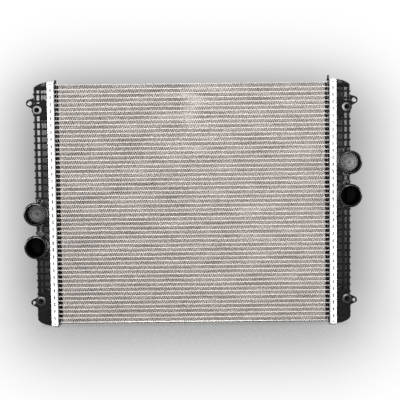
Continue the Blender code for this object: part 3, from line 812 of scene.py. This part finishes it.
# ============================================================================
# side plates: shallow channel with lips rolled away from the core, and bent end tabs
def side_plate(z, out, lip, tabs):
    """out is 1 for the upper plate, -1 for the lower; tabs are for the left and right ends."""
    half, thick = 20.8 * MM, 1.5 * MM
    top = thick + lip
    half_section = [(half, 0), (half + 0.15 * MM, top), (half - 1.3 * MM, top),
                    (half - 1.9 * MM, thick)]
    section = half_section + [(-y, height) for y, height in reversed(half_section)]
    if out > 0:
        section = [(y, z + height) for y, height in section]
    else:
        section = [(y, z + PLATE_T - height) for y, height in section]
    # the outline starts at its rear-most first corner on the negative side
    section = section[-1:] + section[:-1]
    plate = prism([section], "YZ", -356.8 * MM, 356.8 * MM)
    middle_z = z + PLATE_T / 2
    for side, tab in ((-1, tabs[0]), (1, tabs[1])):
        for outline, y_low, y_high in tab:
            points = [(side * x * MM, middle_z + out * rise * MM) for x, rise in outline]
            boolean(plate, prism([points], "XZ", y_low * MM, y_high * MM), "UNION")
    bevel(plate, 0.22 * MM, segments=2, angle=35)
    return plate


# Tabs are lists of (outline, y from, y to); an outline's columns are x and the rise away
# from the core, all in mm.
def upright_tab(height):
    """Upright tongue against the tube plate, with a pointed gusset at its front edge."""
    tongue = [(352.0, -0.5), (355.3, -0.5), (361.0, 5.2), (361.0, height), (359.6, height),
              (359.6, 6.2), (354.2, 0.8), (352.0, 0.8)]
    gusset = [(352.6, 0.2), (356.2, 0.2), (361.0, 5.0), (361.0, height), (359.7, height - 0.2),
              (357.4, height - 5.6), (353.2, 2.2)]
    return [(tongue, -20.4, 8.9), (gusset, -20.4, -18.8)]


# the foot: a strap down from the plate, and a pad under the header
STRAP = [(352.0, -0.5), (355.3, -0.5), (360.4, 7.5), (361.2, 9.3), (361.2, 11.0), (360.2, 11.0),
         (359.2, 8.2), (354.2, 0.8), (352.0, 0.8)]
PAD = [(359.9, 9.4), (377.9, 9.4), (377.9, 11.0), (359.9, 11.0)]
FOOT_TAB = [(STRAP, -9.0, 9.0), (PAD, -26.9, 26.9)]

UPPER_Z = STACK_LO + N_FINS * FIN_H + N_TUBES * TUBE_T
upper = side_plate(UPPER_Z, 1, 0.5 * MM, (upright_tab(13.7), upright_tab(18.9)))
finish(upper, "side_plate_upper", M_PLATE_TOP, ["side_plate_top"])
lower = side_plate(0.0, -1, 2.9 * MM, (FOOT_TAB, FOOT_TAB))
finish(lower, "side_plate_lower", M_PLATE, ["side_plate_bottom"])

# ============================================================================
# headers: drawn tray, its wall slotted and staked in over the tank foot at every crimp
HEADER_WALL = 1.6 * MM
HEADER_CORNER = 5.0 * MM
STAKE_DEPTH = 1.75 * MM

# Stations of the wall outboard from the tube plate: x mm, inset mm, share of the stake.
HEADER_STATIONS = (
    (0.10, 3.4, 0.0), (0.35, 2.3, 0.0), (0.95, 1.25, 0.0), (1.9, 0.5, 0.0), (3.1, 0.1, 0.0),
    (4.4, 0.0, 0.0), (5.9, 0.0, 0.0), (7.3, 0.0, 0.0), (10.4, 0.0, 1.0), (11.7, 0.0, 0.93),
    (13.2, 0.0, 0.62), (14.6, 0.0, 0.30), (16.4, 0.0, 0.09), (17.9, 0.0, 0.02))
SLOT_STATION = 7           # the slots lie between this station and the next
RIM_STATION = 12           # from here out the rim is slightly uneven


def crimp_at(value, centres, half):
    """Weight of the nearest crimp, and its centre where value lies within its slot."""
    centre = min(centres, key=lambda c: abs(c - value))
    gap = abs(value - centre)
    weight = 1.0
    if gap > half * 0.55:
        turn = pi / 2 * min(1.0, (gap - half * 0.55) / (half * 1.15))
        weight = max(0.0, math.cos(turn)) ** 1.5
    return weight, centre if gap <= half + 1e-6 else None


def header_loop():
    """Points round the tray: y, z, outward normal y and z, crimp weight, slot centre."""
    inner_y = HDR_Y - HEADER_CORNER
    low, high = HDR_LO + HEADER_CORNER, HDR_HI - HEADER_CORNER
    end_crimps = [-15 * MM, 0.0, 15 * MM]
    zs = sorted(z + d * MM for z in CRIMPS
                for d in (-7.0, -5.7, -4.6, -2.3, 0.0, 2.3, 4.6, 5.7, 7.0))
    zs = [low] + [z for z in zs if low + 0.2 * MM < z < high - 0.2 * MM] + [high]
    ys = sorted(y + d * MM for y in end_crimps
                for d in (-5.4, -4.4, -3.2, -1.6, 0.0, 1.6, 3.2, 4.4, 5.4))
    ys = [-inner_y] + [y for y in ys if -inner_y < y < inner_y] + [inner_y]
    long_crimps, short_crimps = (CRIMPS, 4.6 * MM), (end_crimps, 3.2 * MM)
    # walls in order: places along it, crimps and half width, outward normal, the centre of
    # the corner that follows, and the angle where that corner starts
    walls = ((zs, long_crimps, (-1, 0), (-inner_y, high), pi),
             (ys, short_crimps, (0, 1), (inner_y, high), pi / 2),
             (zs[::-1], long_crimps, (1, 0), (inner_y, low), 0),
             (ys[::-1], short_crimps, (0, -1), (-inner_y, low), -pi / 2))
    points = []
    for places, crimps, (normal_y, normal_z), (corner_y, corner_z), start in walls:
        for place in places:
            if normal_y:
                spot = (normal_y * HDR_Y, place)
            else:
                spot = (place, HDR_HI if normal_z > 0 else HDR_LO)
            points.append((*spot, normal_y, normal_z, *crimp_at(place, *crimps)))
        for a, b in arc(0, 0, 1, start, start - pi / 2, 6)[1:-1]:
            points.append((corner_y + HEADER_CORNER * a, corner_z + HEADER_CORNER * b,
                           a, b, 0, None))
    return points


def header_wall(side):
    points = header_loop()
    count = len(points)
    draw = random.Random(11 if side > 0 else 23)
    uneven = [draw.uniform(-1, 1) for _ in range(count)]
    verts, faces = [], []
    for k, (x, inset, stake) in enumerate(HEADER_STATIONS):
        for q, (y, z, normal_y, normal_z, weight, slot) in enumerate(points):
            depth = inset * MM + STAKE_DEPTH * weight * stake
            if k >= RIM_STATION:
                depth += 0.12 * MM * (1 - weight) * (0.5 + 0.5 * uneven[q])
            verts.append((side * (WEB_X + x * MM), y - normal_y * depth, z - normal_z * depth))
    for k in range(len(HEADER_STATIONS) - 1):
        for q in range(count):
            r = (q + 1) % count
            slot = points[q][5]
            if k == SLOT_STATION and slot is not None and slot == points[r][5]:
                continue
            face = (k * count + q, k * count + r, (k + 1) * count + r, (k + 1) * count + q)
            faces.append(face if side > 0 else face[::-1])
    wall = make(verts, faces)
    clean(wall, 1e-7)
    # normals have to point away from the tray's middle
    with editing(wall.data) as edit:
        front = max(edit.faces, key=lambda f: -f.calc_center_median().y)
        if front.normal.y > 0:
            bmesh.ops.reverse_faces(edit, faces=edit.faces)
    modifier = wall.modifiers.new("solid", "SOLIDIFY")
    modifier.thickness, modifier.offset, modifier.use_even_offset = HEADER_WALL, -1, False
    apply_modifiers(wall)
    return wall


def tube_plate(side):
    """Flat plate with a slot for every tube."""
    radius, half = TUBE_T / 2 + 0.06 * MM, TUBE_Y + 0.10 * MM
    slots = [[(y, tube_z(i) + z) for y, z in stadium(half - radius, radius, 4)]
             for i in range(N_TUBES)]
    inset = 3.0 * MM
    outline = rounded_rect(-HDR_Y + inset, HDR_LO + inset, HDR_Y - inset, HDR_HI - inset,
                           2.4 * MM, 4)
    x0, x1 = sorted((side * (WEB_X + 0.12 * MM), side * (WEB_X + 1.7 * MM)))
    return prism([outline] + slots, "YZ", x0, x1)


for tag, side in SIDES:
    header = header_wall(side)
    boolean(header, tube_plate(side), "UNION")
    bevel(header, 0.16 * MM, segments=1, angle=50)
    finish(header, f"header_{tag}_crimped", M_HEADER, ["header_" + tag], 40)

# ============================================================================
# tanks
FLOOR_IN = 2.2 * MM        # pocket floors, below the nominal face
PROUD = 1.5 * MM           # rib tops, above it
HALF = 23.5 * MM           # nominal front and back faces
CORNER = 2.9 * MM          # moulded corner between them and the outer face
SIDE_IN = 0.7 * MM         # pocket floors on the outer face are shallow
HIDDEN = -0.4 * MM         # the part inside the header, set in a little
UPRIGHTS = ((396.3, 400.8), (408.6, 412.7))   # x range in mm of the two upright ribs
SQUEEZE_X = 381.0 * MM     # stations beyond this are squeezed in at the rounded ends
END_X = 381.3 * MM         # the rounded ends reach in to here
END_STEPS, ARC_STEPS = 9, 9


def end_drop(t):
    """Distance of the rounded end from the tank's tip, t from 0 inboard to 1 outboard."""
    return (3.0 * t + 17.0 * (1 - math.sqrt(max(0.0, 1 - t ** 2.2)))) * MM


def front_stations():
    """x of the points across the front face, closer at the flanks of the upright ribs."""
    xs = [366.8, 370.0, 376.0, 380.6, 381.0, 381.5, 383.5, 386.0, 389.0, 392.0, 394.6,
          401.5, 403.0, 404.6]
    for a, b in UPRIGHTS:
        xs += [a + d for d in (-1.5, -0.6, -0.15, 0.3)] + [(a + b) / 2]
        xs += [b + d for d in (-0.3, 0.15, 0.6, 1.5)]
    return sorted({round(x * MM, 7) for x in xs if x < 413.8})


FRONT_XS = front_stations()


def tank_section(x_out):
    """Points (x, y, normal x, normal y) of the section whose outer face is at x_out."""
    radius = max(0.3 * MM, min(CORNER, (x_out - 381.2 * MM) * 0.8))
    room = x_out - radius - 0.04 * MM
    last = FRONT_XS[-1]
    front = []
    for x in FRONT_XS:
        if last > room and x > SQUEEZE_X + 1e-7:
            x = SQUEEZE_X + (x - SQUEEZE_X) * (room - SQUEEZE_X) / (last - SQUEEZE_X)
        front.append((x, -HALF, 0.0, -1.0))
    for i in range(1, ARC_STEPS):
        a = -pi / 2 + pi / 2 * i / ARC_STEPS
        front.append((x_out - radius + radius * math.cos(a),
                      -HALF + radius + radius * math.sin(a), math.cos(a), math.sin(a)))
    outer = [(x_out, -HALF + radius + f * 2 * (HALF - radius), 1.0, 0.0)
             for f in (0.0, 0.25, 0.5, 0.75, 1.0)]
    return front + outer + [(x, -y, nx, -ny) for x, y, nx, ny in reversed(front)]


def tank_rows():
    """(z, x of the outer face) of every section, from the lower tip to the upper."""
    low, high = TANK_LO + end_drop(1.0), TANK_HI - end_drop(1.0)
    zs = []
    for i in range(RIBS):
        centre = RIB_Z0 + i * RIB_PITCH
        zs += [centre + d * MM for d in (-9.155, -6.0, -3.7, -2.75, -2.6, -2.05, -1.5, 0.0,
                                         1.5, 2.05, 2.6, 2.75, 3.7, 6.0)]
    zs = sorted({round(z, 7) for z in zs if low + 0.3 * MM < z < high - 0.3 * MM})
    ends = []
    for i in range(END_STEPS):
        t = math.sin(pi / 2 * i / END_STEPS)
        ends.append((end_drop(t), END_X + (TANK_X - END_X) * max(0.015, t)))
    return ([(TANK_LO + drop, x) for drop, x in ends]
            + [(z, TANK_X) for z in [low] + zs + [high]]
            + [(TANK_HI - drop, x) for drop, x in reversed(ends)])


def rib_level(z):
    """1 on a horizontal rib's top, 0 on the floor; the lowest pockets are shallow."""
    k = max(0, min(RIBS - 1, round((z - RIB_Z0) / RIB_PITCH)))
    gap = abs(z - (RIB_Z0 + k * RIB_PITCH)) / MM
    return max(1 - min(1.0, max(0.0, (gap - 1.5) / 1.1)), 0.62 * fade_out(46.0, 54.0, z / MM))


def upright_level(x):
    level = 0.0
    for a, b in UPRIGHTS:
        gap = abs(x / MM - (a + b) / 2) - (b - a) / 2
        level = max(level, 1 - min(1.0, max(0.0, (gap + 0.3) / 0.9)))
    return level


def pad_level(x, z, necks):
    """Smooth pads round the bosses and necks, on the front."""
    level = 0.0
    for boss_z in BOSS_Z:
        tall = 26.0 if boss_z > 0.3 else 30.0
        oval = math.hypot((x - 390.0 * MM) / 12.5, (z - boss_z) / tall) / MM
        ring = math.hypot(x - BOSS_X, z - boss_z) / MM
        level = max(level, fade_out(0.93, 1.05, oval) * 0.92, fade_out(14.6, 15.8, ring) * 0.92)
    for neck_z in necks:
        ring = math.hypot(x - NECK_X, z - neck_z) / MM
        level = max(level, fade_out(29.0, 37.0, ring) * 0.9)
    return level


def tank_body(side, necks):
    rows = tank_rows()
    verts, faces = [], []
    for z, x_out in rows:
        section = tank_section(x_out)
        in_end = x_out < TANK_X - 0.01 * MM
        rib = rib_level(z)
        for x, y, nx, ny in section:
            inside = fade_out(380.4, 381.4, x / MM)
            level = max(rib, upright_level(x) if abs(nx) < 0.5 else 0.0)
            # the strip beside the header stands a little forward
            level = max(level, 0.75 * fade_out(382.0, 383.2, x / MM) * (1 - inside))
            if y < 0:
                level = max(level, pad_level(x, z, necks))
            floor_depth = -(FLOOR_IN + (SIDE_IN - FLOOR_IN) * min(1.0, abs(nx) * 1.25))
            # front and back pocket floors rise towards the header
            if abs(ny) > 0.5:
                floor_depth += fade_out(383.0, 396.0, x / MM) * 0.9 * MM
            shift = floor_depth + (PROUD - floor_depth) * level
            if in_end:
                shift = max(shift, -0.4 * MM) if level < 0.5 else min(shift, 0.9 * MM)
            shift = shift * (1 - inside) + HIDDEN * inside
            verts.append((side * (x + nx * shift), y + ny * shift, z))
    count = len(section)
    for k in range(len(rows) - 1):
        a, b = k * count, (k + 1) * count
        faces += [(a + q, a + q + 1, b + q + 1, b + q) for q in range(count - 1)]
        # close the core side
        faces.append((a + count - 1, a, b, b + count - 1))
    faces.append(tuple(range(count)))
    faces.append(tuple((len(rows) - 1) * count + q for q in reversed(range(count))))
    body = make(verts, faces)
    clean(body, 1e-7)
    return body


# hose neck with a rolled bead, a flange and a narrowing root: radius, height from the mouth, mm
NECK_PROFILE = (
    (0, 0), (27.9, 0), (28.3, -0.15), (28.7, -0.7), (29.3, -1.6), (30.3, -2.7), (30.75, -3.6),
    (30.8, -4.4), (30.75, -5.3), (30.3, -6.3), (29.5, -7.3), (29.05, -8.4), (28.9, -9.6),
    (28.85, -20), (28.95, -33.0), (29.0, -38.5), (29.35, -40.6), (29.9, -41.6), (29.9, -43.6),
    (29.35, -44.4), (29.0, -46), (29.0, -78), (28.4, -81.5), (26.4, -84.6), (22.0, -86.6),
    (0, -86.9))


def foot_flange(side):
    x0, x1 = sorted((side * 366.55 * MM, side * 371.2 * MM))
    outline = rounded_rect(-27.6 * MM, HDR_LO + 2.4 * MM, 27.6 * MM, HDR_HI - 2.4 * MM,
                           3 * MM, 4)
    return prism([outline], "YZ", x0, x1)


def drain_boss():
    points = (profile(DRAIN.y, ((0, 0), (10.2, 0), (11, -0.8)))
              + profile(0, ((11, 27), (11.8, 24.5), (13, 23), (13, 10), (0, 10))))
    return lathe(points, DRAIN.x, DRAIN.z, 40, 0.03, BACK)


def boss(side, z):
    """Round post with an eased edge, 13.6 mm in radius at the root and 13.4 mm further out."""
    points = (profile(BOSS_FACE, ((0, 0), (12.3, 0), (12.9, -0.2), (13.3, -0.8), (13.35, -1.6),
                                  (13.4, -8), (13.6, -9.2), (13.6, -10.2)))
              + profile(0, ((13.6, 12), (0, 12))))
    points = [(min(r, 13.4 * MM) if h > 24 * MM else r, h) for r, h in points]
    return lathe(points, side * BOSS_X, z, 56, 0.02)


def ear(side, z, below, above, radius, start, end, steps, hole_radius, hole_steps):
    """Flat lug with a round hole, on the tank's outer face; start and end in half turns."""
    root = TANK_X - 1.5 * MM
    outline = ([(root, z - below * MM)]
               + arc(EAR_X, z, radius * MM, pi * start, pi * end, steps)
               + [(root, z + above * MM)])
    hole = circle(EAR_X, z, hole_radius * MM, hole_steps)
    return prism([mirrored(outline, side), mirrored(hole, side)], "XZ",
                 EAR_Y + 0.05 * MM, EAR_Y + 6.9 * MM, 0.6 * MM)


def tank_hollow(side):
    """The space inside: a rounded section, trimmed to the tank's rounded ends."""
    inner_x, half, radius = 365.0 * MM, 18.8 * MM, 9 * MM
    arc_x = TANK_X - 5.2 * MM - radius
    section = ([(inner_x, -half)] + arc(arc_x, -half + radius, radius, -pi / 2, 0, 8)
               + arc(arc_x, half - radius, radius, 0, pi / 2, 8) + [(inner_x, half)])
    hollow = prism([mirrored(section, side)], "XY", -2 * MM, HDR_HI)
    low, start_x = 2.5 * MM, 379 * MM
    lower = [(364.0 * MM, low)]
    for i in range(9):
        t = math.sin(pi / 2 * i / 8)
        lower.append((start_x + (TANK_X - 4.4 * MM - start_x) * t, low + end_drop(t) * 0.9))
    upper = [(x, HDR_HI + HDR_LO - z) for x, z in reversed(lower)]
    trim = prism([mirrored(lower + upper, side)], "XZ", -40 * MM, 40 * MM)
    boolean(hollow, trim, "INTERSECT")
    return hollow


def inner_post(side, z):
    """Solid behind a boss, inside the hollow."""
    points = profile(0, ((0, 21.5), (12.6, 21.5), (12.6, 5.2), (0, 5.2)))
    return lathe(points, side * BOSS_X, z, 40, 0.05)


def neck_bore(side, z):
    points = (profile(MOUTH, ((0, 1), (27.0, 1), (26.2, -0.2), (25.3, -1.2), (25.0, -2.4)))
              + profile(0, ((24.95, 20), (24.95, -8.6), (0, -8.6))))
    return lathe(points, side * NECK_X, z, 72, 0.031)


def boss_hole(side, z):
    points = (profile(BOSS_FACE, ((0, 1), (7.6, 1), (7.1, 0), (6.35, -0.9), (6.3, -1.6)))
              + profile(0, ((6.28, 8.05), (0, 8.05))))
    return lathe(points, side * BOSS_X, z, 40, 0.07)


def drain_hole():
    points = (profile(DRAIN.y, ((0, 1), (7.4, 1), (7.0, 0), (6.5, -0.7)))
              + profile(0, ((6.5, 12), (0, 12))))
    return lathe(points, DRAIN.x, DRAIN.z, 40, 0.07, BACK)


def build_tank(side, necks):
    tank = tank_body(side, necks)
    adds = [foot_flange(side)]
    adds += [lathe(profile(MOUTH, NECK_PROFILE), side * NECK_X, z, 72) for z in necks]
    if side > 0:
        adds.append(drain_boss())
    boolean(tank, join(adds), "UNION")
    boolean(tank, join([boss(side, z) for z in BOSS_Z]), "UNION")
    ears = [ear(side, EAR_TOP_Z, below=17.3, above=13.8, radius=9.9, start=-0.36, end=0.42,
                steps=18, hole_radius=5.5, hole_steps=32),
            ear(side, EAR_LOW_Z, below=14.3, above=14.3, radius=8.1, start=-0.34, end=0.34,
                steps=14, hole_radius=4.2, hole_steps=28)]
    boolean(tank, join(ears), "UNION")
    boolean(tank, tank_hollow(side), "DIFFERENCE")
    boolean(tank, join([inner_post(side, z) for z in BOSS_Z]), "UNION")
    cuts = [neck_bore(side, z) for z in necks] + [boss_hole(side, z) for z in BOSS_Z]
    if side > 0:
        cuts.append(drain_hole())
    boolean(tank, join(cuts), "DIFFERENCE")
    with editing(tank.data) as edit:
        bmesh.ops.remove_doubles(edit, verts=edit.verts, dist=2e-6)
        bmesh.ops.dissolve_degenerate(edit, edges=edit.edges, dist=2e-6)
    return tank


for tag, side in SIDES:
    finish(build_tank(side, NECKS[tag]), f"tank_{tag}_moulding", M_TANK[tag],
           ["tank_" + tag], 32)


# ============================================================================
# blanking discs: shallow dished cups with a raised ring and a small raised centre
def blanking_disc(side, low, high):
    rim = (high.x - low.x) / 2 - 0.05 * MM
    dish, lip, back = -low.y - 4 * MM, -low.y, -high.y
    points = (
        profile(dish, ((0, 0.5), (1.4, 0.5), (1.8, 0.1), (2.2, -0.1), (7, 0), (15.2, 0.05),
                       (15.9, 0.3), (16.6, 0.3), (17.3, 0.05)))
        + profile(dish, ((-3.2, 0), (-2.4, 0.5), (-2.1, 1.4)), rim)
        + profile(lip, ((-1.9, -0.6), (-1.5, -0.1), (-0.5, -0.05), (-0.1, -0.4), (0, -1)), rim)
        + profile(back, ((0, 0.6), (-0.6, 0)), rim) + [(0, back)])
    return lathe(points, side * NECK_X, (low.z + high.z) / 2, 64)


for tag, side in SIDES:
    name = "blanking_disc_" + tag
    finish(blanking_disc(side, *box[name]), name + "_cup", M_DISC[tag], [name])


# bolt inserts: knurled sleeve with three kinds of turning: edge, grooves and a thread inside
def boss_insert(low, high):
    centre = (low + high) / 2
    outer, bore = (high.x - low.x) / 2, 4.25 * MM
    front, back = -low.y, -high.y
    points = profile(front, ((-0.5, 0), (-0.05, -0.5)), outer)
    for j in range(1, 5):
        groove = front + (back - front) * j / 5
        points += profile(groove, ((-0.05, 0.9), (-0.55, 0.5), (-0.55, -0.3), (-0.05, -0.7)),
                          outer)
    points += profile(back, ((-0.05, 0.4), (-0.5, 0)), outer) + profile(back, ((0.5, 0),), bore)
    turns = 10
    for j in range(turns):
        height = back + (front - back) * (j + 0.35) / turns
        points += profile(height, ((0.02, 0), (0.6, 0.7)), bore)
    points += profile(front, ((0.1, -0.5), (0.7, 0)), bore)

    def knurl(radius, height, angle):
        if radius > outer - 0.2 * MM:
            return -0.28 * MM * (0.5 + 0.5 * math.cos(24 * angle))
        return 0.0

    return lathe(points, centre.x, centre.z, 96, wobble=knurl)


for tag, side in SIDES:
    for level in ("bottom", "top"):
        name = f"boss_insert_{level}_{tag}"
        finish(boss_insert(*box[name]), name + "_sleeve", M_STEEL, [name], 30)


# ============================================================================
# drain screw: shank with thread, seal groove, collar and a thumb wing
def drain_screw(low, high):
    base, tip = DRAIN.y, low.y
    points = profile(base, ((0, 6), (8.2, 6), (9.0, 5.5), (9.35, 4.8), (9.35, 1.0), (9.0, 0.4),
                            (6.4, 0.35), (5.9, -0.3)))
    for turn in range(7):
        height = base - 1.0 * MM - turn * 1.25 * MM
        points += profile(height, ((5.5, 0), (6.15, -0.62)))
    points += profile(base, ((6.15, -9.0), (4.4, -9.6), (4.4, -12.4), (6.15, -13), (6.0, -14)))
    points += profile(tip, ((5.1, 0.2), (4.6, 0.02), (0, 0.02)))

    def grip(radius, height, angle):
        if radius > 8.9 * MM and height > base + 0.9 * MM:
            return -0.5 * MM * (0.5 + 0.5 * math.cos(14 * angle)) ** 3
        return 0.0

    screw = lathe(points, DRAIN.x, DRAIN.z, 84, facing=BACK, wobble=grip)
    half = (high.x - low.x) / 2 - 0.1 * MM
    # x and half height of the wing
    edge = [(DRAIN.x - half, 1.0 * MM), (DRAIN.x - half + 1.4 * MM, 1.7 * MM),
            (DRAIN.x, 2.2 * MM), (DRAIN.x + half - 1.4 * MM, 1.7 * MM),
            (DRAIN.x + half, 1.0 * MM)]
    outline = ([(x, DRAIN.z - rise) for x, rise in edge]
               + [(x, DRAIN.z + rise) for x, rise in reversed(edge)])
    wing = prism([outline], "XZ", base + 3 * MM, high.y - 0.05 * MM, 0.7 * MM)
    boolean(screw, wing, "UNION")
    return screw


def drain_seal(low, high):
    half, radius = (high.y - low.y) / 2, 0.78 * MM
    points = [(5.45 * MM + radius * math.cos(a), (low.y + high.y) / 2 + half * 0.98 * math.sin(a))
              for a in [2 * pi * i / 14 for i in range(14)]]
    return lathe(points, DRAIN.x, DRAIN.z, 56, facing=BACK)


finish(drain_screw(*box["drain_screw"]), "drain_screw_thumb", M_DRAIN,
       ["drain_screw"], body="drain_cock")
finish(drain_seal(*box["drain_seal"]), "drain_o_ring", M_RUBBER,
       ["drain_seal"], body="drain_carrier")

# ============================================================================
# gaskets: moulded frame with two sealing beads
GASKET_W = 4.9 * MM
# section: share of the width from the inner edge, share of the thickness going outboard
GASKET_SECTION = (
    (0, 0.35), (0.25, 0.0), (1, 0.0), (1, 0.35), (0.80, 0.62), (0.72, 1.0), (0.58, 1.0),
    (0.50, 0.62), (0.42, 0.62), (0.34, 1.0), (0.20, 1.0), (0.08, 0.62))


def gasket(side, low, high):
    thickness = high.x - low.x
    verts, faces = [], []
    for across, rise in GASKET_SECTION:
        inset = (1 - across) * GASKET_W
        ring = rounded_rect(-high.y + inset, low.z + inset, high.y - inset, high.z - inset,
                            max(0.6 * MM, 3.2 * MM - inset * 0.5), 6)
        x = low.x + rise * thickness if side > 0 else high.x - rise * thickness
        verts += [(x, y, z) for y, z in ring]
    count = len(ring)
    for i in range(len(GASKET_SECTION)):
        a, b = i * count, (i + 1) % len(GASKET_SECTION) * count
        for q in range(count):
            r = (q + 1) % count
            faces.append((a + q, a + r, b + r, b + q))
    frame_ring = make(verts, faces)
    clean(frame_ring, 1e-8)
    return frame_ring


for tag, side in SIDES:
    name = "gasket_" + tag
    finish(gasket(side, *box[name]), name + "_beaded", M_RUBBER, [name])

# ============================================================================
# stage: pale floor that fades into the backdrop, soft panels, camera
scene.view_settings.view_transform = "Standard"
scene.view_settings.look = "None"
scene.cycles.filter_width = 1.62
scene.cycles.use_denoising = False        # denoising would wipe out the fine comb of the fins

FLOOR_SHOW = 0.30          # how much of the lit floor shows over the backdrop
SHADOW_DEPTH = 0.5486        # four times the darkening at the middle of the view
# centre and softness of the painted shadow's two edges on each window axis, in shares of the view
SHADOW_EDGES = {"X": ((0.0614, 0.0986), (0.9016, 0.1115)),
              "Y": ((0.1567, 0.1068), (0.7909, 0.0899))}


def backdrop_shadow(tree):
    """Backdrop tone in window coordinates: white at the edges, a soft painted shadow round the object."""
    window = tree.position("Window")

    def band(axis):
        rise, fall = [
            tree.math("TANH", tree.math("DIVIDE", tree.sub(window[axis], place), softness))
            for place, softness in SHADOW_EDGES[axis]]
        return tree.sub(rise, fall)

    tone = tree.sub(1.0065, tree.mul(band("X"), band("Y"), SHADOW_DEPTH / 4))
    tone = tree.math("POWER", tree.math("MINIMUM", tone, 1.0), 2.2)
    colour = tree.node("ShaderNodeCombineXYZ")
    for socket in colour.inputs:
        tree.link(tone, socket)
    return colour.outputs[0]


def floor_material():
    """Camera sees the backdrop with a little floor near the middle; reflections see it dark."""
    material, tree = new_material("pale_floor")
    tree.surface("Base Color", rgba(0.62))
    tree.surface("Roughness", 0.9)
    tree.surface("Specular IOR Level", 0.1)
    glow = tree.node("ShaderNodeEmission")
    tree.link(backdrop_shadow(tree), glow.inputs["Color"])
    length = tree.node("ShaderNodeVectorMath", operation="LENGTH")
    tree.link(tree.node("ShaderNodeTexCoord").outputs["Object"], length.inputs[0])
    rays = tree.node("ShaderNodeLightPath").outputs
    fade = tree.mul(tree.step(length.outputs["Value"], 0.9, 0.25), FLOOR_SHOW)
    lit = tree.add(tree.mul(rays["Is Camera Ray"], fade), tree.sub(1.0, rays["Is Camera Ray"]))
    seen = tree.mix_shader(lit, glow.outputs["Emission"],
                           tree.nodes["Principled BSDF"].outputs["BSDF"])
    dark = tree.node("ShaderNodeBsdfDiffuse")
    dark.inputs["Color"].default_value = rgba(0.05)
    surface = tree.mix_shader(rays["Is Glossy Ray"], seen, dark.outputs["BSDF"])
    tree.link(surface, tree.nodes["Material Output"].inputs["Surface"])
    return material


def add_floor():
    mesh = bpy.data.meshes.new("floor")
    with editing(mesh) as edit:
        bmesh.ops.create_circle(edit, cap_ends=True, radius=4.0, segments=96)
    floor = add_object(mesh, "floor")
    floor.location = (0, 0, cad_lo.z - 0.5 * MM)
    mesh.materials.append(floor_material())


def add_world():
    """Dim even light, dimmer still in reflections, with the backdrop's painted shadow for the camera."""
    world = bpy.data.worlds.new("studio")
    scene.world = world
    world.use_nodes = True
    tree = Tree(world.node_tree)
    ambient = tree.nodes["Background"]
    ambient.inputs["Color"].default_value = rgba(0.95)
    rays = tree.node("ShaderNodeLightPath").outputs
    tree.link(tree.sub(0.22, tree.mul(rays["Is Glossy Ray"], 0.15)), ambient.inputs["Strength"])
    backdrop = tree.node("ShaderNodeBackground")
    tree.link(backdrop_shadow(tree), backdrop.inputs["Color"])
    surface = tree.mix_shader(rays["Is Camera Ray"], ambient.outputs["Background"],
                              backdrop.outputs["Background"])
    tree.link(surface, tree.nodes["World Output"].inputs["Surface"])


# soft lights: name, place, target (metres), width, height (metres), power (watts)
PANELS = (
    ("key_panel", (-0.30, -3.0, 0.70), (-0.05, 0, 0.36), 2.1, 0.98, 96),
    ("right_panel", (2.4, -1.7, 0.85), (0.1, 0, 0.35), 0.9, 1.0, 32),
    ("low_panel", (0.08, -2.2, 0.02), (0.12, 0, 0.16), 0.8, 0.45, 12),
    ("left_panel", (-2.5, -1.7, 0.95), (-0.1, 0, 0.35), 0.8, 1.0, 12),
    ("top_panel", (0.0, -0.7, 2.3), (0, 0, 0.3), 2.2, 0.9, 14),
    ("back_panel", (0.0, 2.8, 1.3), (0, 0, 0.3), 2.4, 1.4, 80),
    ("side_right_panel", (3.2, 0.7, 0.9), (0.3, 0, 0.3), 1.5, 1.2, 36),
    ("side_left_panel", (-3.2, 0.7, 0.9), (-0.3, 0, 0.3), 1.5, 1.2, 36))


def add_panel(name, place, target, width, height, power):
    light = bpy.data.lights.new(name, "AREA")
    light.shape, light.size, light.size_y, light.energy = "RECTANGLE", width, height, power
    panel = add_object(light, name)
    panel.location = place
    panel.rotation_mode = "QUATERNION"
    panel.rotation_quaternion = (Vector(target) - Vector(place)).to_track_quat("-Z", "Y")
    panel.visible_camera = False


def add_camera(location, yaw, pitch, roll, lens):
    """Camera looking along +Y, turned by small angles in radians; lens in mm."""
    data = bpy.data.cameras.new("camera")
    camera = add_object(data, "camera")
    scene.camera = camera
    camera.location = location
    turn = (Matrix.Rotation(yaw, 3, "Z") @ Matrix.Rotation(pitch, 3, "X")
            @ Matrix.Rotation(roll, 3, "Y"))
    right, forward, upward = turn.col
    camera.rotation_mode = "QUATERNION"
    camera.rotation_quaternion = Matrix((right, upward, -forward)).transposed().to_quaternion()
    data.sensor_width = 36.0
    data.lens = lens
    data.clip_start, data.clip_end = 0.05, 50.0


add_floor()
add_world()
for panel in PANELS:
    add_panel(*panel)
add_camera((0.044, -2.8, 0.533), yaw=0.0089, pitch=-0.0745, roll=0.0113, lens=94.671)

bpy.context.view_layer.update()
